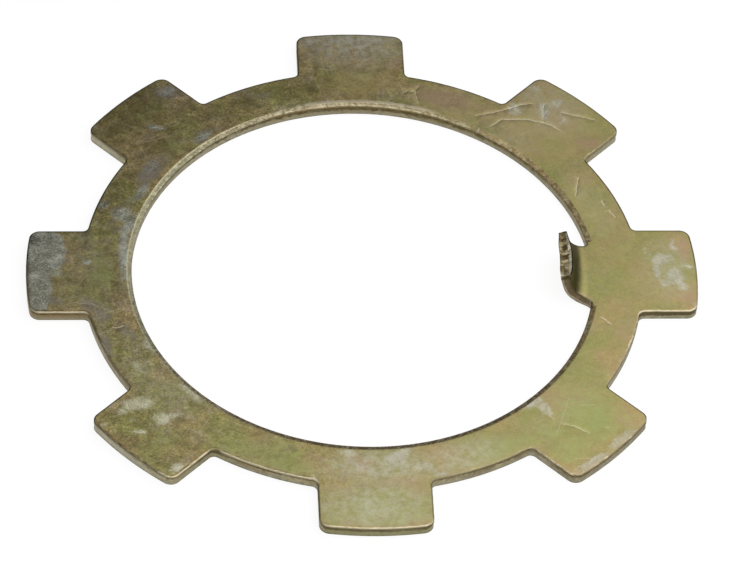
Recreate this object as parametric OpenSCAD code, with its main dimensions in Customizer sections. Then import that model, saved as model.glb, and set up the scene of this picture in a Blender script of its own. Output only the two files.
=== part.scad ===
// Lock washer blanked from sheet: eight square tabs round the rim and one key tab bent up in the bore.
// Origin on the bore's axis at the seat; +X runs through the key tab and +Z is the way it is bent. Millimetres.

/* [Sheet and ring] */
// Thickness of the sheet
sheet = 1.5; // [1.2:0.1:2.0]
// Diameter of the bore
bore_d = 60; // [56:0.5:62]
// Radius of the rim between the outer tabs
rim_r = 36.4; // [35:0.1:38]
// Width of the chamfer round the bore's upper edge
bore_chamfer_w = 0.7; // [0.3:0.1:1.2]
// Depth of the chamfer round the bore's upper edge
bore_chamfer_h = 0.22; // [0.1:0.02:0.5]

/* [Outer tabs] */
// Number of outer tabs
tabs = 8; // [4:1:9]
// Radius over the tips of the outer tabs
tip_r = 43.7; // [42:0.05:46]
// Width of an outer tab
tab_w = 14.4; // [11:0.1:15]
// Radius at the corners of a tab's tip
corner_r = 1.4; // [0.8:0.05:2.5]
// Radius in the corner between a tab and the rim
root_r = 0.8; // [0.4:0.05:1.5]
// Size of the small chamfer round the upper edge of the outline
edge_c = 0.16; // [0.05:0.01:0.3]

/* [Key tab] */
// Distance of the far flank from the key tab's middle line
key_far = 4.4; // [3:0.1:5]
// Distance of the near flank from the key tab's middle line
key_near = 4.3; // [3:0.1:5]
// Radius of the small arc on which the far flank runs out to the bore
far_flare_r = 0.7; // [0.5:0.1:1.5]
// Distance from the bore's axis at which the far flank's arc begins
far_flare_x = 29; // [28.5:0.05:29.2]
// Radius of the wide arc on which the near flank runs out to the bore
near_flare_r = 3; // [2:0.1:4]
// Distance from the bore's axis at which the near flank's arc begins
near_flare_x = 27.1; // [26.5:0.1:28]
// Inner radius of the bend
bend_r = 2; // [1.5:0.1:2.5]
// Radius from the bore's axis at which the bend begins
bend_start_r = 29.4; // [28.5:0.1:29.6]
// Angle through which the key tab is bent up
bend_angle = 75; // [60:1:88]
// Straight length of the key tab beyond the bend
leaf_len = 2.1; // [1:0.1:4]
// Radius at the far corner of the key tab's end
leaf_far_r = 0.5; // [0.3:0.1:1.2]
// Radius at the near corner of the key tab's end
leaf_near_r = 0.4; // [0.2:0.1:1.2]

/* [Hidden] */
// Fragments on a full circle
$fn = 180;
// Overlap that makes joined shapes share volume
lap = 1;
bore_r = bore_d / 2;
half_w = tab_w / 2;
// Height above the sheet to which the shapes run before one plane cuts them all level
over = 0.1;
// How far two circles that touch are let into each other, so that they meet in one clean edge
kiss = 0.0005;
tab_step = 360 / tabs;
tab_angles = [for (i = [0 : tabs - 1]) i * tab_step];
// Centre of the circle at a tab's tip corner
corner_y = half_w - corner_r;
corner_x = sqrt(pow(tip_r - corner_r + kiss, 2) - pow(corner_y, 2));
// Centre of the circle in the corner between a tab and the rim
fillet_y = half_w + root_r;
fillet_x = sqrt(pow(rim_r + root_r - kiss, 2) - pow(fillet_y, 2));
fillet_angle = atan2(fillet_y, fillet_x);
// Distance of each flare's centre from the key tab's middle line
far_flare_y = key_far + far_flare_r;
near_flare_y = key_near + near_flare_r;
// Angle at which a flare runs out in the bore, by the law of cosines
function runout(x, y, r) = let(d = norm([x, y]))
    atan2(y, x) - acos((pow(d, 2) + pow(bore_r, 2) - pow(r, 2)) / (2 * d * bore_r));
// Plain stretch of bore edge between a flare and the end of the bore's chamfer, in degrees
chamfer_gap = 0.5;
chamfer_far = runout(far_flare_x, far_flare_y, far_flare_r) + chamfer_gap;
chamfer_near = runout(near_flare_x, near_flare_y, near_flare_r) + chamfer_gap;
// Distance from the bore's axis within which nothing of the key tab lies
key_clear_r = bore_r - 6;
bend_z = sheet + bend_r;
bend_outer_r = bend_r + sheet;
leaf_top = sheet + bend_r * (1 - cos(bend_angle)) + leaf_len * sin(bend_angle);
// Half of the angle over which the key tab's section is turned before its flanks are cut
key_sweep = 22;

// Section of a round solid with the small chamfer on its upper edge
module round_section(r) {
    polygon([
        [0, 0], [r, 0], [r, sheet - edge_c], [r - edge_c - over, sheet + over], [0, sheet + over]
    ]);
}

module round_solid(r) {
    rotate_extrude() round_section(r);
}

// Straight part of an outer tab, chamfered along both flanks
module tab_strip() {
    translate([bore_r, 0, 0])
        rotate([90, 0, 90])
            linear_extrude(corner_x - bore_r)
                polygon([
                    [-half_w, 0], [half_w, 0], [half_w, sheet - edge_c],
                    [half_w - edge_c - over, sheet + over], [over + edge_c - half_w, sheet + over],
                    [-half_w, sheet - edge_c]
                ]);
}

// Curved tip of an outer tab between its two corner circles
module tab_tip() {
    intersection() {
        round_solid(tip_r);
        linear_extrude(sheet + over)
            polygon([[0, 0], 1.2 * [corner_x, -corner_y], 1.2 * [corner_x, corner_y]]);
    }
}

module tab_corner(side) {
    translate([corner_x, side * corner_y, 0]) round_solid(corner_r);
}

// Concave fillet between a tab's flank and the rim
module tab_fillet(side) {
    difference() {
        linear_extrude(sheet + over)
            polygon([
                [fillet_x, side * (half_w - lap)],
                [fillet_x, side * fillet_y],
                [rim_r * cos(fillet_angle), side * rim_r * sin(fillet_angle)],
                [(rim_r - lap) * cos(fillet_angle), side * (rim_r - lap) * sin(fillet_angle)]
            ]);
        translate([fillet_x, side * fillet_y, 0])
            rotate_extrude()
                polygon([
                    [0, -1], [root_r, -1], [root_r, sheet - edge_c],
                    [root_r + edge_c + 2 * over, sheet + 2 * over], [0, sheet + 2 * over]
                ]);
    }
}

module outer_tab() {
    tab_strip();
    tab_tip();
    for (side = [-1, 1]) {
        tab_corner(side);
        tab_fillet(side);
    }
}

// Section of the key tab: a short flat, the bend and the straight leaf, with the bore's axis at the left
module key_section() {
    translate([bend_start_r, 0]) square([bore_r - bend_start_r + lap, sheet]);
    translate([bend_start_r, bend_z]) {
        intersection() {
            difference() {
                circle(bend_outer_r);
                circle(bend_r);
            }
            rotate(270 - bend_angle)
                polygon([
                    [0, 0], [2 * bend_outer_r, 0],
                    2 * bend_outer_r * [cos(bend_angle / 2), sin(bend_angle / 2)],
                    2 * bend_outer_r * [cos(bend_angle), sin(bend_angle)]
                ]);
        }
        rotate(270 - bend_angle) translate([bend_r, -leaf_len]) square([sheet, leaf_len]);
    }
}

// Key tab seen from above, with each flank running out to the bore on an arc
module key_plan() {
    difference() {
        polygon([
            [key_clear_r, key_far], [far_flare_x, key_far], [far_flare_x, far_flare_y],
            [bore_r + lap, far_flare_y], [bore_r + lap, -near_flare_y], [near_flare_x, -near_flare_y],
            [near_flare_x, -key_near], [key_clear_r, -key_near]
        ]);
        translate([far_flare_x, far_flare_y]) circle(far_flare_r);
        translate([near_flare_x, -near_flare_y]) circle(near_flare_r);
    }
}

// Material outside the rounded corner at one end of the leaf's edge
module leaf_corner_cut(side, flank, r) {
    translate([key_clear_r, side * (flank - r), leaf_top - r])
        rotate([90, 0, 90])
            linear_extrude(bore_r - key_clear_r)
                mirror([side > 0 ? 0 : 1, 0])
                    difference() {
                        square(r + lap);
                        circle(r);
                    }
}

module key_tab() {
    difference() {
        intersection() {
            rotate([0, 0, -key_sweep]) rotate_extrude(angle = 2 * key_sweep) key_section();
            translate([0, 0, -1]) linear_extrude(leaf_top + 2) key_plan();
        }
        leaf_corner_cut(1, key_far, leaf_far_r);
        leaf_corner_cut(-1, key_near, leaf_near_r);
    }
}

// Chamfer round the bore's upper edge, left off where the key tab grows out of it
module bore_chamfer() {
    rotate([0, 0, chamfer_far])
        rotate_extrude(angle = 360 - chamfer_far - chamfer_near)
            polygon([
                [bore_r, sheet - bore_chamfer_h], [bore_r + bore_chamfer_w, sheet],
                [bore_r + bore_chamfer_w, sheet + 1], [bore_r - 1, sheet + 1],
                [bore_r - 1, sheet - bore_chamfer_h]
            ]);
}

module ring() {
    difference() {
        union() {
            round_solid(rim_r);
            for (a = tab_angles) rotate([0, 0, a]) outer_tab();
        }
        translate([0, 0, -1]) cylinder(r = bore_r, h = sheet + 2);
        translate([-tip_r - 1, -tip_r - 1, sheet]) cube([2 * tip_r + 2, 2 * tip_r + 2, 1]);
    }
}

module lock_washer() {
    color([0.55, 0.52, 0.39])
        difference() {
            union() {
                ring();
                key_tab();
            }
            bore_chamfer();
        }
}

lock_washer();
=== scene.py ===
"""Lock washer: cut edges, bend, plating and wear of one blanked washer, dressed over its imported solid.

Every length is in millimetres on the flat blank until the washer is bent and scaled to metres at the end.
"""

import logging
import math
from collections.abc import Iterable, Sequence
from dataclasses import dataclass, field
from enum import Enum

import bmesh
import bpy
import numpy as np
from mathutils import Matrix, Vector, geometry, noise

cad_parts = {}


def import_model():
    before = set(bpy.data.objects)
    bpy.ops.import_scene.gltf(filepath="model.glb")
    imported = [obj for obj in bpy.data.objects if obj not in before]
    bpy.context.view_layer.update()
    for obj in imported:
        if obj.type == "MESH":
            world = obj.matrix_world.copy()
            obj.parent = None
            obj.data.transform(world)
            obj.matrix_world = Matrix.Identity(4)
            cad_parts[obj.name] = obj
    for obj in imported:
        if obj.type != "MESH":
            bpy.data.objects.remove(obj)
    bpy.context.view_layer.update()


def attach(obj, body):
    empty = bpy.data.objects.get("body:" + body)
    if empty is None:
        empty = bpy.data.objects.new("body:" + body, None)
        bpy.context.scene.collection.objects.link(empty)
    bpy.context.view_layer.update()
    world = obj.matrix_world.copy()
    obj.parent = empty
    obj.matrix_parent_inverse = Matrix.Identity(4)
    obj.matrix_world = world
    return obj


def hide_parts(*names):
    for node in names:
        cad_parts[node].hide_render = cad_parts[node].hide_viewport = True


LOG = logging.getLogger("lock_washer")
METRES = 0.001
NODE = "lock_washer"
BODY = "root"
PHOTO_WIDTH = 729
SENSOR_MM = 36.0
# Points worked on at a time where each is set against many others
SLICE = 500

Colour = tuple[float, float, float]
Point2 = tuple[float, float]
Edges = list[tuple[int, int]]
Socket = bpy.types.NodeSocket


class Finish(Enum):
    """Material slots of the washer, in the order of its faces' material numbers."""

    FACE = 0
    SHEARED = 1
    CHAMFER = 2
    TORN = 3


@dataclass(frozen=True)
class Blank:
    """Sizes of the washer, as its source has them."""

    sheet: float = 1.5
    bore_r: float = 30.0
    rim_r: float = 36.4
    tip_r: float = 43.7
    half_tab: float = 7.2
    tip_corner_r: float = 1.4
    root_r: float = 0.8
    tabs: int = 8
    chamfer_gap: float = 0.5
    key_far: float = 4.4
    key_near: float = 4.3
    far_flare_x: float = 29.0
    far_flare_r: float = 0.7
    near_flare_x: float = 27.1
    near_flare_r: float = 3.0
    bend_r: float = 2.0
    bend_start_r: float = 29.4
    bend_angle: float = math.radians(75.0)
    leaf_len: float = 2.1
    leaf_far_r: float = 0.5
    leaf_near_r: float = 0.4

    @property
    def neutral_r(self) -> float:
        """Radius of the bend at the middle of the sheet."""
        return self.bend_r + self.sheet / 2

    @property
    def bend_run(self) -> float:
        """Length of blank that the bend takes up."""
        return self.neutral_r * self.bend_angle

    @property
    def leaf_end_r(self) -> float:
        """Radius on the flat blank at which the key tab ends."""
        return self.bend_start_r - self.bend_run - self.leaf_len


def arc(centre: Point2, radius: float, start: float, end: float, step: float) -> np.ndarray:
    """Points on an arc.

    Args:
        centre: Middle of the circle.
        radius: Its radius.
        start: First angle in radians.
        end: Last angle in radians.
        step: Longest distance between points.

    Returns:
        The points, one row each, both ends included.
    """
    count = max(3, math.ceil(abs(end - start) * radius / step) + 1)
    angle = np.linspace(start, end, count)
    return np.column_stack((centre[0] + radius * np.cos(angle), centre[1] + radius * np.sin(angle)))


def line(start: Point2, end: Point2, step: float) -> np.ndarray:
    """Points on a straight line, both ends included, no further apart than step."""
    return np.linspace(start, end, max(2, math.ceil(math.dist(start, end) / step) + 1))


def chain(parts: Iterable[np.ndarray]) -> np.ndarray:
    """Joins stretches of points end to end, leaving out the repeated point at each joint."""
    parts = list(parts)
    return np.vstack([parts[0], *(part[1:] for part in parts[1:])])


def inward(points: np.ndarray, closed: bool) -> np.ndarray:
    """Unit normals to the left of the way the points run, which is where the metal lies.

    Args:
        points: Points of a line or a ring.
        closed: Whether the last point joins the first.

    Returns:
        One normal for each point.
    """
    if closed:
        tangent = np.roll(points, -1, 0) - np.roll(points, 1, 0)
    else:
        tangent = np.gradient(points, axis=0)
    tangent /= np.linalg.norm(tangent, axis=1, keepdims=True)
    return np.column_stack((-tangent[:, 1], tangent[:, 0]))


def field_noise(points: np.ndarray, scale: Sequence[float], seed: float) -> np.ndarray:
    """Smooth noise between about -1 and 1 at each point.

    Args:
        points: One row of three coordinates each.
        scale: Waves per millimetre along X, Y and Z.
        seed: Offset that gives each use its own pattern.

    Returns:
        One value for each point.
    """
    scaled = points * np.asarray(scale) + seed
    return np.array([noise.noise(Vector(p)) for p in scaled]) * 2.0


def half_noise(points: np.ndarray, scale: Sequence[float], seed: float) -> np.ndarray:
    """The same noise, between about 0 and 1."""
    return 0.5 + 0.5 * field_noise(points, scale, seed)


def inside(points: np.ndarray, loop: np.ndarray) -> np.ndarray:
    """Tells for each point whether it lies inside the closed loop.

    Args:
        points: Points to test.
        loop: Corners of the loop.

    Returns:
        True or False for each point.
    """
    x, y = points[:, 0:1], points[:, 1:2]
    ax, ay = loop[:, 0], loop[:, 1]
    bx, by = np.roll(ax, -1), np.roll(ay, -1)
    rise = np.where(by == ay, 1e-12, by - ay)
    crosses = ((ay > y) != (by > y)) & (x < (bx - ax) * (y - ay) / rise + ax)
    return crosses.sum(axis=1) % 2 == 1


def between(points: np.ndarray, rings: Sequence[np.ndarray]) -> np.ndarray:
    """Tells for each point whether it lies inside the first ring and outside the second."""
    return inside(points, rings[0]) & ~inside(points, rings[1])


def distance(points: np.ndarray, marks: np.ndarray) -> np.ndarray:
    """Distance from each point to the nearest mark, worked out in slices to spare memory.

    Args:
        points: Points to measure from.
        marks: Points to measure to.

    Returns:
        One distance for each point.
    """
    near = []
    for part in np.array_split(points, max(1, len(points) // SLICE)):
        near.append(np.sqrt(((part[:, None, :] - marks[None]) ** 2).sum(axis=2).min(axis=1)))
    return np.concatenate(near)


def clear(points: np.ndarray, rings: Sequence[np.ndarray], gap: float) -> np.ndarray:
    """Points that lie between the two rings, further than a gap from both.

    Args:
        points: Points to choose from.
        rings: The outer and the inner ring.
        gap: Least distance from the points of a ring.

    Returns:
        The points that are left.
    """
    points = points[between(points, rings)]
    return points[distance(points, np.vstack(rings)) > gap]


def segment_distance(points: np.ndarray, curve: np.ndarray) -> tuple[np.ndarray, np.ndarray]:
    """How far each point lies from a curve, and how far along it.

    Args:
        points: Points to measure from.
        curve: Points that the curve runs through.

    Returns:
        The distances, and the places along the curve from 0 to 1.
    """
    a = curve[:-1]
    run = curve[1:] - a
    t = ((points[:, None] - a) * run).sum(axis=2) / np.maximum((run**2).sum(axis=1), 1e-12)
    t = np.clip(t, 0.0, 1.0)
    gap = np.sqrt(((points[:, None] - (a + t[..., None] * run)) ** 2).sum(axis=2))
    nearest = gap.argmin(axis=1)
    each = np.arange(len(points))
    return gap[each, nearest], (nearest + t[each, nearest]) / len(run)


def ease(value: np.ndarray, low: float, high: float) -> np.ndarray:
    """Smooth step from 0 at low to 1 at high."""
    t = np.clip((value - low) / (high - low), 0.0, 1.0)
    return t * t * (3.0 - 2.0 * t)


@dataclass(frozen=True)
class EdgeRow:
    """One line along a cut edge.

    Args:
        inset: Distance from the outline into the metal.
        height: Height above the seat.
        finish: Finish of the strip that starts at this line and runs down to the next.
    """

    inset: float
    height: float
    finish: Finish = Finish.FACE


def down_wall(*heights: float) -> tuple[EdgeRow, ...]:
    """Rows straight down a sheared wall, at the given heights."""
    return tuple(EdgeRow(0.0, height, Finish.SHEARED) for height in heights)


# Heights between which the outer edge is a sheared wall
WALL_TOP = 1.35
WALL_FOOT = 0.02

OUTER_ROWS: tuple[EdgeRow, ...] = (
    EdgeRow(0.34, 1.5),
    EdgeRow(0.17, 1.5),
    EdgeRow(0.105, 1.491),
    EdgeRow(0.055, 1.47),
    EdgeRow(0.022, 1.44),
    EdgeRow(0.004, 1.4),
    *down_wall(WALL_TOP, 1.12, 0.95, 0.78, 0.6, 0.42, 0.24, 0.08),
    EdgeRow(0.03, WALL_FOOT, Finish.SHEARED),
    EdgeRow(0.07, 0.0),
    EdgeRow(0.25, 0.0),
)

CHAMFER_ROWS: tuple[EdgeRow, ...] = (
    EdgeRow(0.9, 1.5),
    EdgeRow(0.73, 1.5),
    EdgeRow(0.69, 1.494, Finish.CHAMFER),
    EdgeRow(0.52, 1.443, Finish.CHAMFER),
    EdgeRow(0.34, 1.387, Finish.CHAMFER),
    EdgeRow(0.16, 1.33, Finish.CHAMFER),
    EdgeRow(0.03, 1.29, Finish.CHAMFER),
    *down_wall(1.25, 1.05, 0.85, 0.65, 0.45, 0.25, 0.1),
    EdgeRow(0.02, 0.03, Finish.SHEARED),
    EdgeRow(0.06, 0.0),
    EdgeRow(0.25, 0.0),
)


@dataclass(frozen=True)
class OuterEdge:
    """Cut edge of one tab with half of the rim on each side of it, repeated round the axis.

    Args:
        blank: Sizes of the washer.
        step: Longest distance between stations.
        fine: Share of that distance which the small arcs keep to.
        weld: Distance within which the ends of two copies are joined.
    """

    blank: Blank
    step: float = 0.25
    fine: float = 0.6
    weld: float = 0.002

    def sector(self) -> np.ndarray:
        """Outline of one tab.

        Returns:
            Points from the middle of the rim before the tab to the middle of the rim after it.
        """
        b = self.blank
        half_turn = math.pi / b.tabs
        fillet_y = b.half_tab + b.root_r
        fillet_x = math.sqrt((b.rim_r + b.root_r) ** 2 - fillet_y**2)
        root = math.atan2(fillet_y, fillet_x)
        corner_y = b.half_tab - b.tip_corner_r
        corner_x = math.sqrt((b.tip_r - b.tip_corner_r) ** 2 - corner_y**2)
        tip = math.atan2(corner_y, corner_x)
        fine = self.step * self.fine
        return chain(
            [
                arc((0, 0), b.rim_r, -half_turn, -root, self.step),
                arc((fillet_x, -fillet_y), b.root_r, math.pi - root, math.pi / 2, fine),
                line((fillet_x, -b.half_tab), (corner_x, -b.half_tab), self.step),
                arc((corner_x, -corner_y), b.tip_corner_r, -math.pi / 2, -tip, fine),
                arc((0, 0), b.tip_r, -tip, tip, self.step),
                arc((corner_x, corner_y), b.tip_corner_r, tip, math.pi / 2, fine),
                line((corner_x, b.half_tab), (fillet_x, b.half_tab), self.step),
                arc((fillet_x, fillet_y), b.root_r, -math.pi / 2, root - math.pi, fine),
                arc((0, 0), b.rim_r, root, half_turn, self.step),
            ]
        )

    def outline(self) -> np.ndarray:
        """Outline over all the tabs.

        Returns:
            Points of the closed ring.
        """
        sector = self.sector()[:-1]
        turned = []
        for angle in np.arange(self.blank.tabs) * math.tau / self.blank.tabs:
            cos, sin = math.cos(angle), math.sin(angle)
            turned.append(sector @ np.array([[cos, sin], [-sin, cos]]))
        return np.vstack(turned)

    def sector_object(self) -> bpy.types.Object:
        """Mesh strip of one tab's edge, with the rows of OUTER_ROWS one under the other.

        Returns:
            The strip's object, linked to the scene.
        """
        outline = self.sector()
        normal = inward(outline, closed=False)
        for end, angle in ((0, -math.pi / self.blank.tabs), (-1, math.pi / self.blank.tabs)):
            normal[end] = (-math.cos(angle), -math.sin(angle))
        rows = len(OUTER_ROWS)
        verts = []
        for point, way in zip(outline, normal):
            verts.extend((*(point + way * row.inset), row.height) for row in OUTER_ROWS)
        faces = []
        for i in range(len(outline) - 1):
            for a in range(i * rows, i * rows + rows - 1):
                faces.append((a, a + 1, a + rows + 1, a + rows))
        mesh = bpy.data.meshes.new("tab_edge")
        mesh.from_pydata(verts, [], faces)
        obj = bpy.data.objects.new("tab_edge", mesh)
        bpy.context.scene.collection.objects.link(obj)
        return obj

    def repeat_tree(self) -> bpy.types.NodeTree:
        """Geometry node tree that sets copies of one tab's edge round the axis and welds them.

        Returns:
            The tree, with inputs for the edge, the number of tabs, the weld distance and the finish.
        """
        tree = bpy.data.node_groups.new("tabs_round_axis", "GeometryNodeTree")
        for label, kind in (
            ("Tab edge", "Geometry"),
            ("Tabs", "Int"),
            ("Weld distance", "Float"),
            ("Finish", "Material"),
        ):
            tree.interface.new_socket(label, in_out="INPUT", socket_type="NodeSocket" + kind)
        tree.interface.new_socket("Whole edge", in_out="OUTPUT", socket_type="NodeSocketGeometry")
        new = tree.nodes.new
        source, sink = new("NodeGroupInput"), new("NodeGroupOutput")
        points, index = new("GeometryNodePoints"), new("GeometryNodeInputIndex")
        step, turn = new("ShaderNodeMath"), new("ShaderNodeMath")
        step.operation, turn.operation = "DIVIDE", "MULTIPLY"
        step.inputs[0].default_value = math.tau
        euler, rotation = new("ShaderNodeCombineXYZ"), new("FunctionNodeEulerToRotation")
        copies, real = new("GeometryNodeInstanceOnPoints"), new("GeometryNodeRealizeInstances")
        merge, finish = new("GeometryNodeMergeByDistance"), new("GeometryNodeSetMaterial")
        for start, end in (
            (source.outputs["Tabs"], points.inputs["Count"]),
            (source.outputs["Tabs"], step.inputs[1]),
            (index.outputs[0], turn.inputs[0]),
            (step.outputs[0], turn.inputs[1]),
            (turn.outputs[0], euler.inputs["Z"]),
            (euler.outputs[0], rotation.inputs[0]),
            (points.outputs[0], copies.inputs["Points"]),
            (source.outputs["Tab edge"], copies.inputs["Instance"]),
            (rotation.outputs[0], copies.inputs["Rotation"]),
            (copies.outputs[0], real.inputs[0]),
            (real.outputs[0], merge.inputs["Geometry"]),
            (source.outputs["Weld distance"], merge.inputs["Distance"]),
            (merge.outputs[0], finish.inputs["Geometry"]),
            (source.outputs["Finish"], finish.inputs["Material"]),
            (finish.outputs[0], sink.inputs[0]),
        ):
            tree.links.new(start, end)
        return tree

    def build(self, finish: bpy.types.Material) -> bpy.types.Mesh:
        """Makes the whole outer edge.

        Args:
            finish: Material that the tree gives it.

        Returns:
            The edge as a plain mesh.
        """
        obj = self.sector_object()
        modifier = obj.modifiers.new("tabs_round_axis", "NODES")
        modifier.node_group = self.repeat_tree()
        values = {"Tabs": self.blank.tabs, "Weld distance": self.weld, "Finish": finish}
        for item in modifier.node_group.interface.items_tree:
            if item.name in values:
                modifier[item.identifier] = values[item.name]
        graph = bpy.context.evaluated_depsgraph_get()
        mesh = bpy.data.meshes.new_from_object(obj.evaluated_get(graph))
        bpy.data.objects.remove(obj)
        return mesh


@dataclass(frozen=True)
class BoreEdge:
    """Cut edge of the bore and of the key tab, on the flat blank.

    Args:
        blank: Sizes of the washer.
        step: Longest distance between stations.
        fine: Share of that distance which the key tab keeps to.
        finest: Share which its corners and its end keep to.
        sharp: Distance between the last plain station and the first one with the chamfer.
    """

    blank: Blank
    step: float = 0.25
    fine: float = 0.5
    finest: float = 0.3
    sharp: float = 0.05

    def unbent(self, plan: np.ndarray) -> np.ndarray:
        """Carries points of the bent key tab back to the flat blank.

        Args:
            plan: The points as they are seen from above.

        Returns:
            Their places on the blank.
        """
        b = self.blank
        radius = np.linalg.norm(plan, axis=1)
        drop = np.clip((b.bend_start_r - radius) / b.neutral_r, 0.0, math.sin(b.bend_angle))
        flat = np.where(drop > 0, b.bend_start_r - b.neutral_r * np.arcsin(drop), radius)
        return np.column_stack((np.sqrt(flat**2 - plan[:, 1] ** 2), plan[:, 1]))

    def flare_end(self, centre: Point2, radius: float) -> tuple[float, float]:
        """Where a flare runs out in the bore.

        Args:
            centre: Middle of the flare's arc.
            radius: Its radius.

        Returns:
            The angle of the place about the flare's centre, and its angle about the axis.
        """
        bore_r = self.blank.bore_r
        away = math.hypot(*centre)
        turn = math.acos((away**2 + bore_r**2 - radius**2) / (2 * away * bore_r))
        about_axis = abs(math.atan2(centre[1], centre[0])) - turn
        x = bore_r * math.cos(about_axis)
        y = math.copysign(bore_r * math.sin(about_axis), centre[1])
        return math.atan2(y - centre[1], x - centre[0]), about_axis

    def stations(self) -> tuple[np.ndarray, np.ndarray, np.ndarray]:
        """Outline of the hole, clockwise.

        Returns:
            Its points on the flat blank, 1 for each with the chamfer, and 1 for each on the torn end.
        """
        b = self.blank
        far_centre = (b.far_flare_x, b.key_far + b.far_flare_r)
        near_centre = (b.near_flare_x, -b.key_near - b.near_flare_r)
        far_stop, far_axis = self.flare_end(far_centre, b.far_flare_r)
        near_stop, near_axis = self.flare_end(near_centre, b.near_flare_r)
        gap = math.radians(b.chamfer_gap)
        fine = self.step * self.fine
        corner = self.step * self.finest
        far_flare = self.unbent(arc(far_centre, b.far_flare_r, far_stop, -math.pi / 2, fine))
        near_flare = self.unbent(arc(near_centre, b.near_flare_r, math.pi / 2, near_stop, fine))
        far_y, near_y = b.key_far - b.leaf_far_r, b.key_near - b.leaf_near_r
        far_x = math.sqrt((b.leaf_end_r + b.leaf_far_r) ** 2 - far_y**2)
        near_x = math.sqrt((b.leaf_end_r + b.leaf_near_r) ** 2 - near_y**2)
        far_turn, near_turn = math.atan2(far_y, far_x), math.atan2(near_y, near_x)
        torn_end = arc((0, 0), b.leaf_end_r, far_turn, -near_turn, corner)
        key = [
            arc((0, 0), b.bore_r, far_axis + gap, far_axis, fine),
            far_flare,
            line(tuple(far_flare[-1]), (far_x, b.key_far), fine),
            arc((far_x, far_y), b.leaf_far_r, math.pi / 2, math.pi + far_turn, corner),
            torn_end,
            arc((near_x, -near_y), b.leaf_near_r, math.pi - near_turn, 1.5 * math.pi, corner),
            line((near_x, -b.key_near), tuple(near_flare[0]), fine),
            near_flare,
            arc((0, 0), b.bore_r, -near_axis, -near_axis - gap, fine),
        ]
        gap += self.sharp / b.bore_r
        round_bore = arc((0, 0), b.bore_r, -near_axis - gap, far_axis + gap - math.tau, self.step)
        counts = [len(part) - 1 for part in key]
        counts[0] += 1
        torn = np.repeat([float(part is torn_end) for part in key], counts)
        plain = np.zeros(len(round_bore))
        return (
            np.vstack((chain(key), round_bore)),
            np.concatenate((np.zeros(len(torn)), np.ones(len(round_bore)))),
            np.concatenate((torn, plain)),
        )

    def add_to(self, bm: bmesh.types.BMesh) -> None:
        """Adds the strip of the bore's edge, a wall of rows at each station.

        Args:
            bm: Mesh that takes the strip.
        """
        points, chamfer, torn = self.stations()
        rings = []
        for point, way, cut in zip(points, inward(points, closed=True), chamfer):
            rows = CHAMFER_ROWS if cut else OUTER_ROWS
            rings.append([bm.verts.new((*(point + way * row.inset), row.height)) for row in rows])
        for i, ring in enumerate(rings):
            after = (i + 1) % len(rings)
            other = rings[after]
            rows = CHAMFER_ROWS if chamfer[i] and chamfer[after] else OUTER_ROWS
            for k in range(len(ring) - 1):
                face = bm.faces.new((ring[k], ring[k + 1], other[k + 1], other[k]))
                finish = rows[k].finish
                rough = finish is Finish.SHEARED and (torn[i] or torn[after])
                face.material_index = (Finish.TORN if rough else finish).value


# Where a patch ends, in its half sizes, and how much of that the softest border takes up
PATCH_END = 1.25
PATCH_BORDER = 1.05


@dataclass(frozen=True)
class Patch:
    """A soft-edged place on the washer, seen from above.

    Args:
        x: Middle, on the washer's X.
        y: Middle, on its Y.
        long: Half of its length.
        wide: Half of its width.
        turn: Direction of its length in degrees from X.
        depth: How strong it is at the middle.
        soft: How much of it the border takes up.
    """

    x: float
    y: float
    long: float
    wide: float
    turn: float = 0.0
    depth: float = 1.0
    soft: float = 1.0

    def at(self, points: np.ndarray) -> np.ndarray:
        """Strength of the patch.

        Args:
            points: Places seen from above.

        Returns:
            One value for each point.
        """
        turn = math.radians(self.turn)
        dx, dy = points[:, 0] - self.x, points[:, 1] - self.y
        along = (dx * math.cos(turn) + dy * math.sin(turn)) / self.long
        across = (dy * math.cos(turn) - dx * math.sin(turn)) / self.wide
        border = PATCH_END - PATCH_BORDER * self.soft
        return self.depth * (1.0 - ease(np.hypot(along, across), border, PATCH_END))


@dataclass(frozen=True)
class Scratch:
    """A fine bright line scored in the plating.

    Args:
        path: Points that it runs through.
        width: Full width.
        depth: How strong it is.
        sway: How far it wanders from the straight line between the points.
    """

    path: tuple[Point2, ...]
    width: float = 0.16
    depth: float = 1.0
    sway: float = 0.09

    def curve(self, step: float = 0.3) -> np.ndarray:
        """Points along the scratch, with a slight wander between the stated ones.

        Args:
            step: Longest distance between points.

        Returns:
            The points.
        """
        knots = np.array(self.path, dtype=float)
        reach = np.concatenate(([0.0], np.cumsum(np.linalg.norm(np.diff(knots, axis=0), axis=1))))
        at = np.linspace(0.0, reach[-1], max(3, math.ceil(reach[-1] / step) + 1))
        smooth = np.column_stack([np.interp(at, reach, knots[:, k]) for k in (0, 1)])
        lift = np.column_stack((smooth, np.zeros(len(smooth))))
        sway = self.sway * field_noise(lift, (1.7, 1.7, 1.7), 3.7) * np.sin(np.pi * at / reach[-1])
        return smooth + inward(smooth, closed=False) * sway[:, None]

    def strength(self, points: np.ndarray) -> np.ndarray:
        """Strength of the scratch, which tapers towards both of its ends.

        Args:
            points: Places seen from above.

        Returns:
            One value for each point.
        """
        gap, along = segment_distance(points, self.curve())
        taper = np.clip(6.0 * np.minimum(along, 1.0 - along), 0.0, 1.0)
        return self.depth * taper * np.clip(1.0 - gap / (self.width / 2), 0.0, 1.0)


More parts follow.
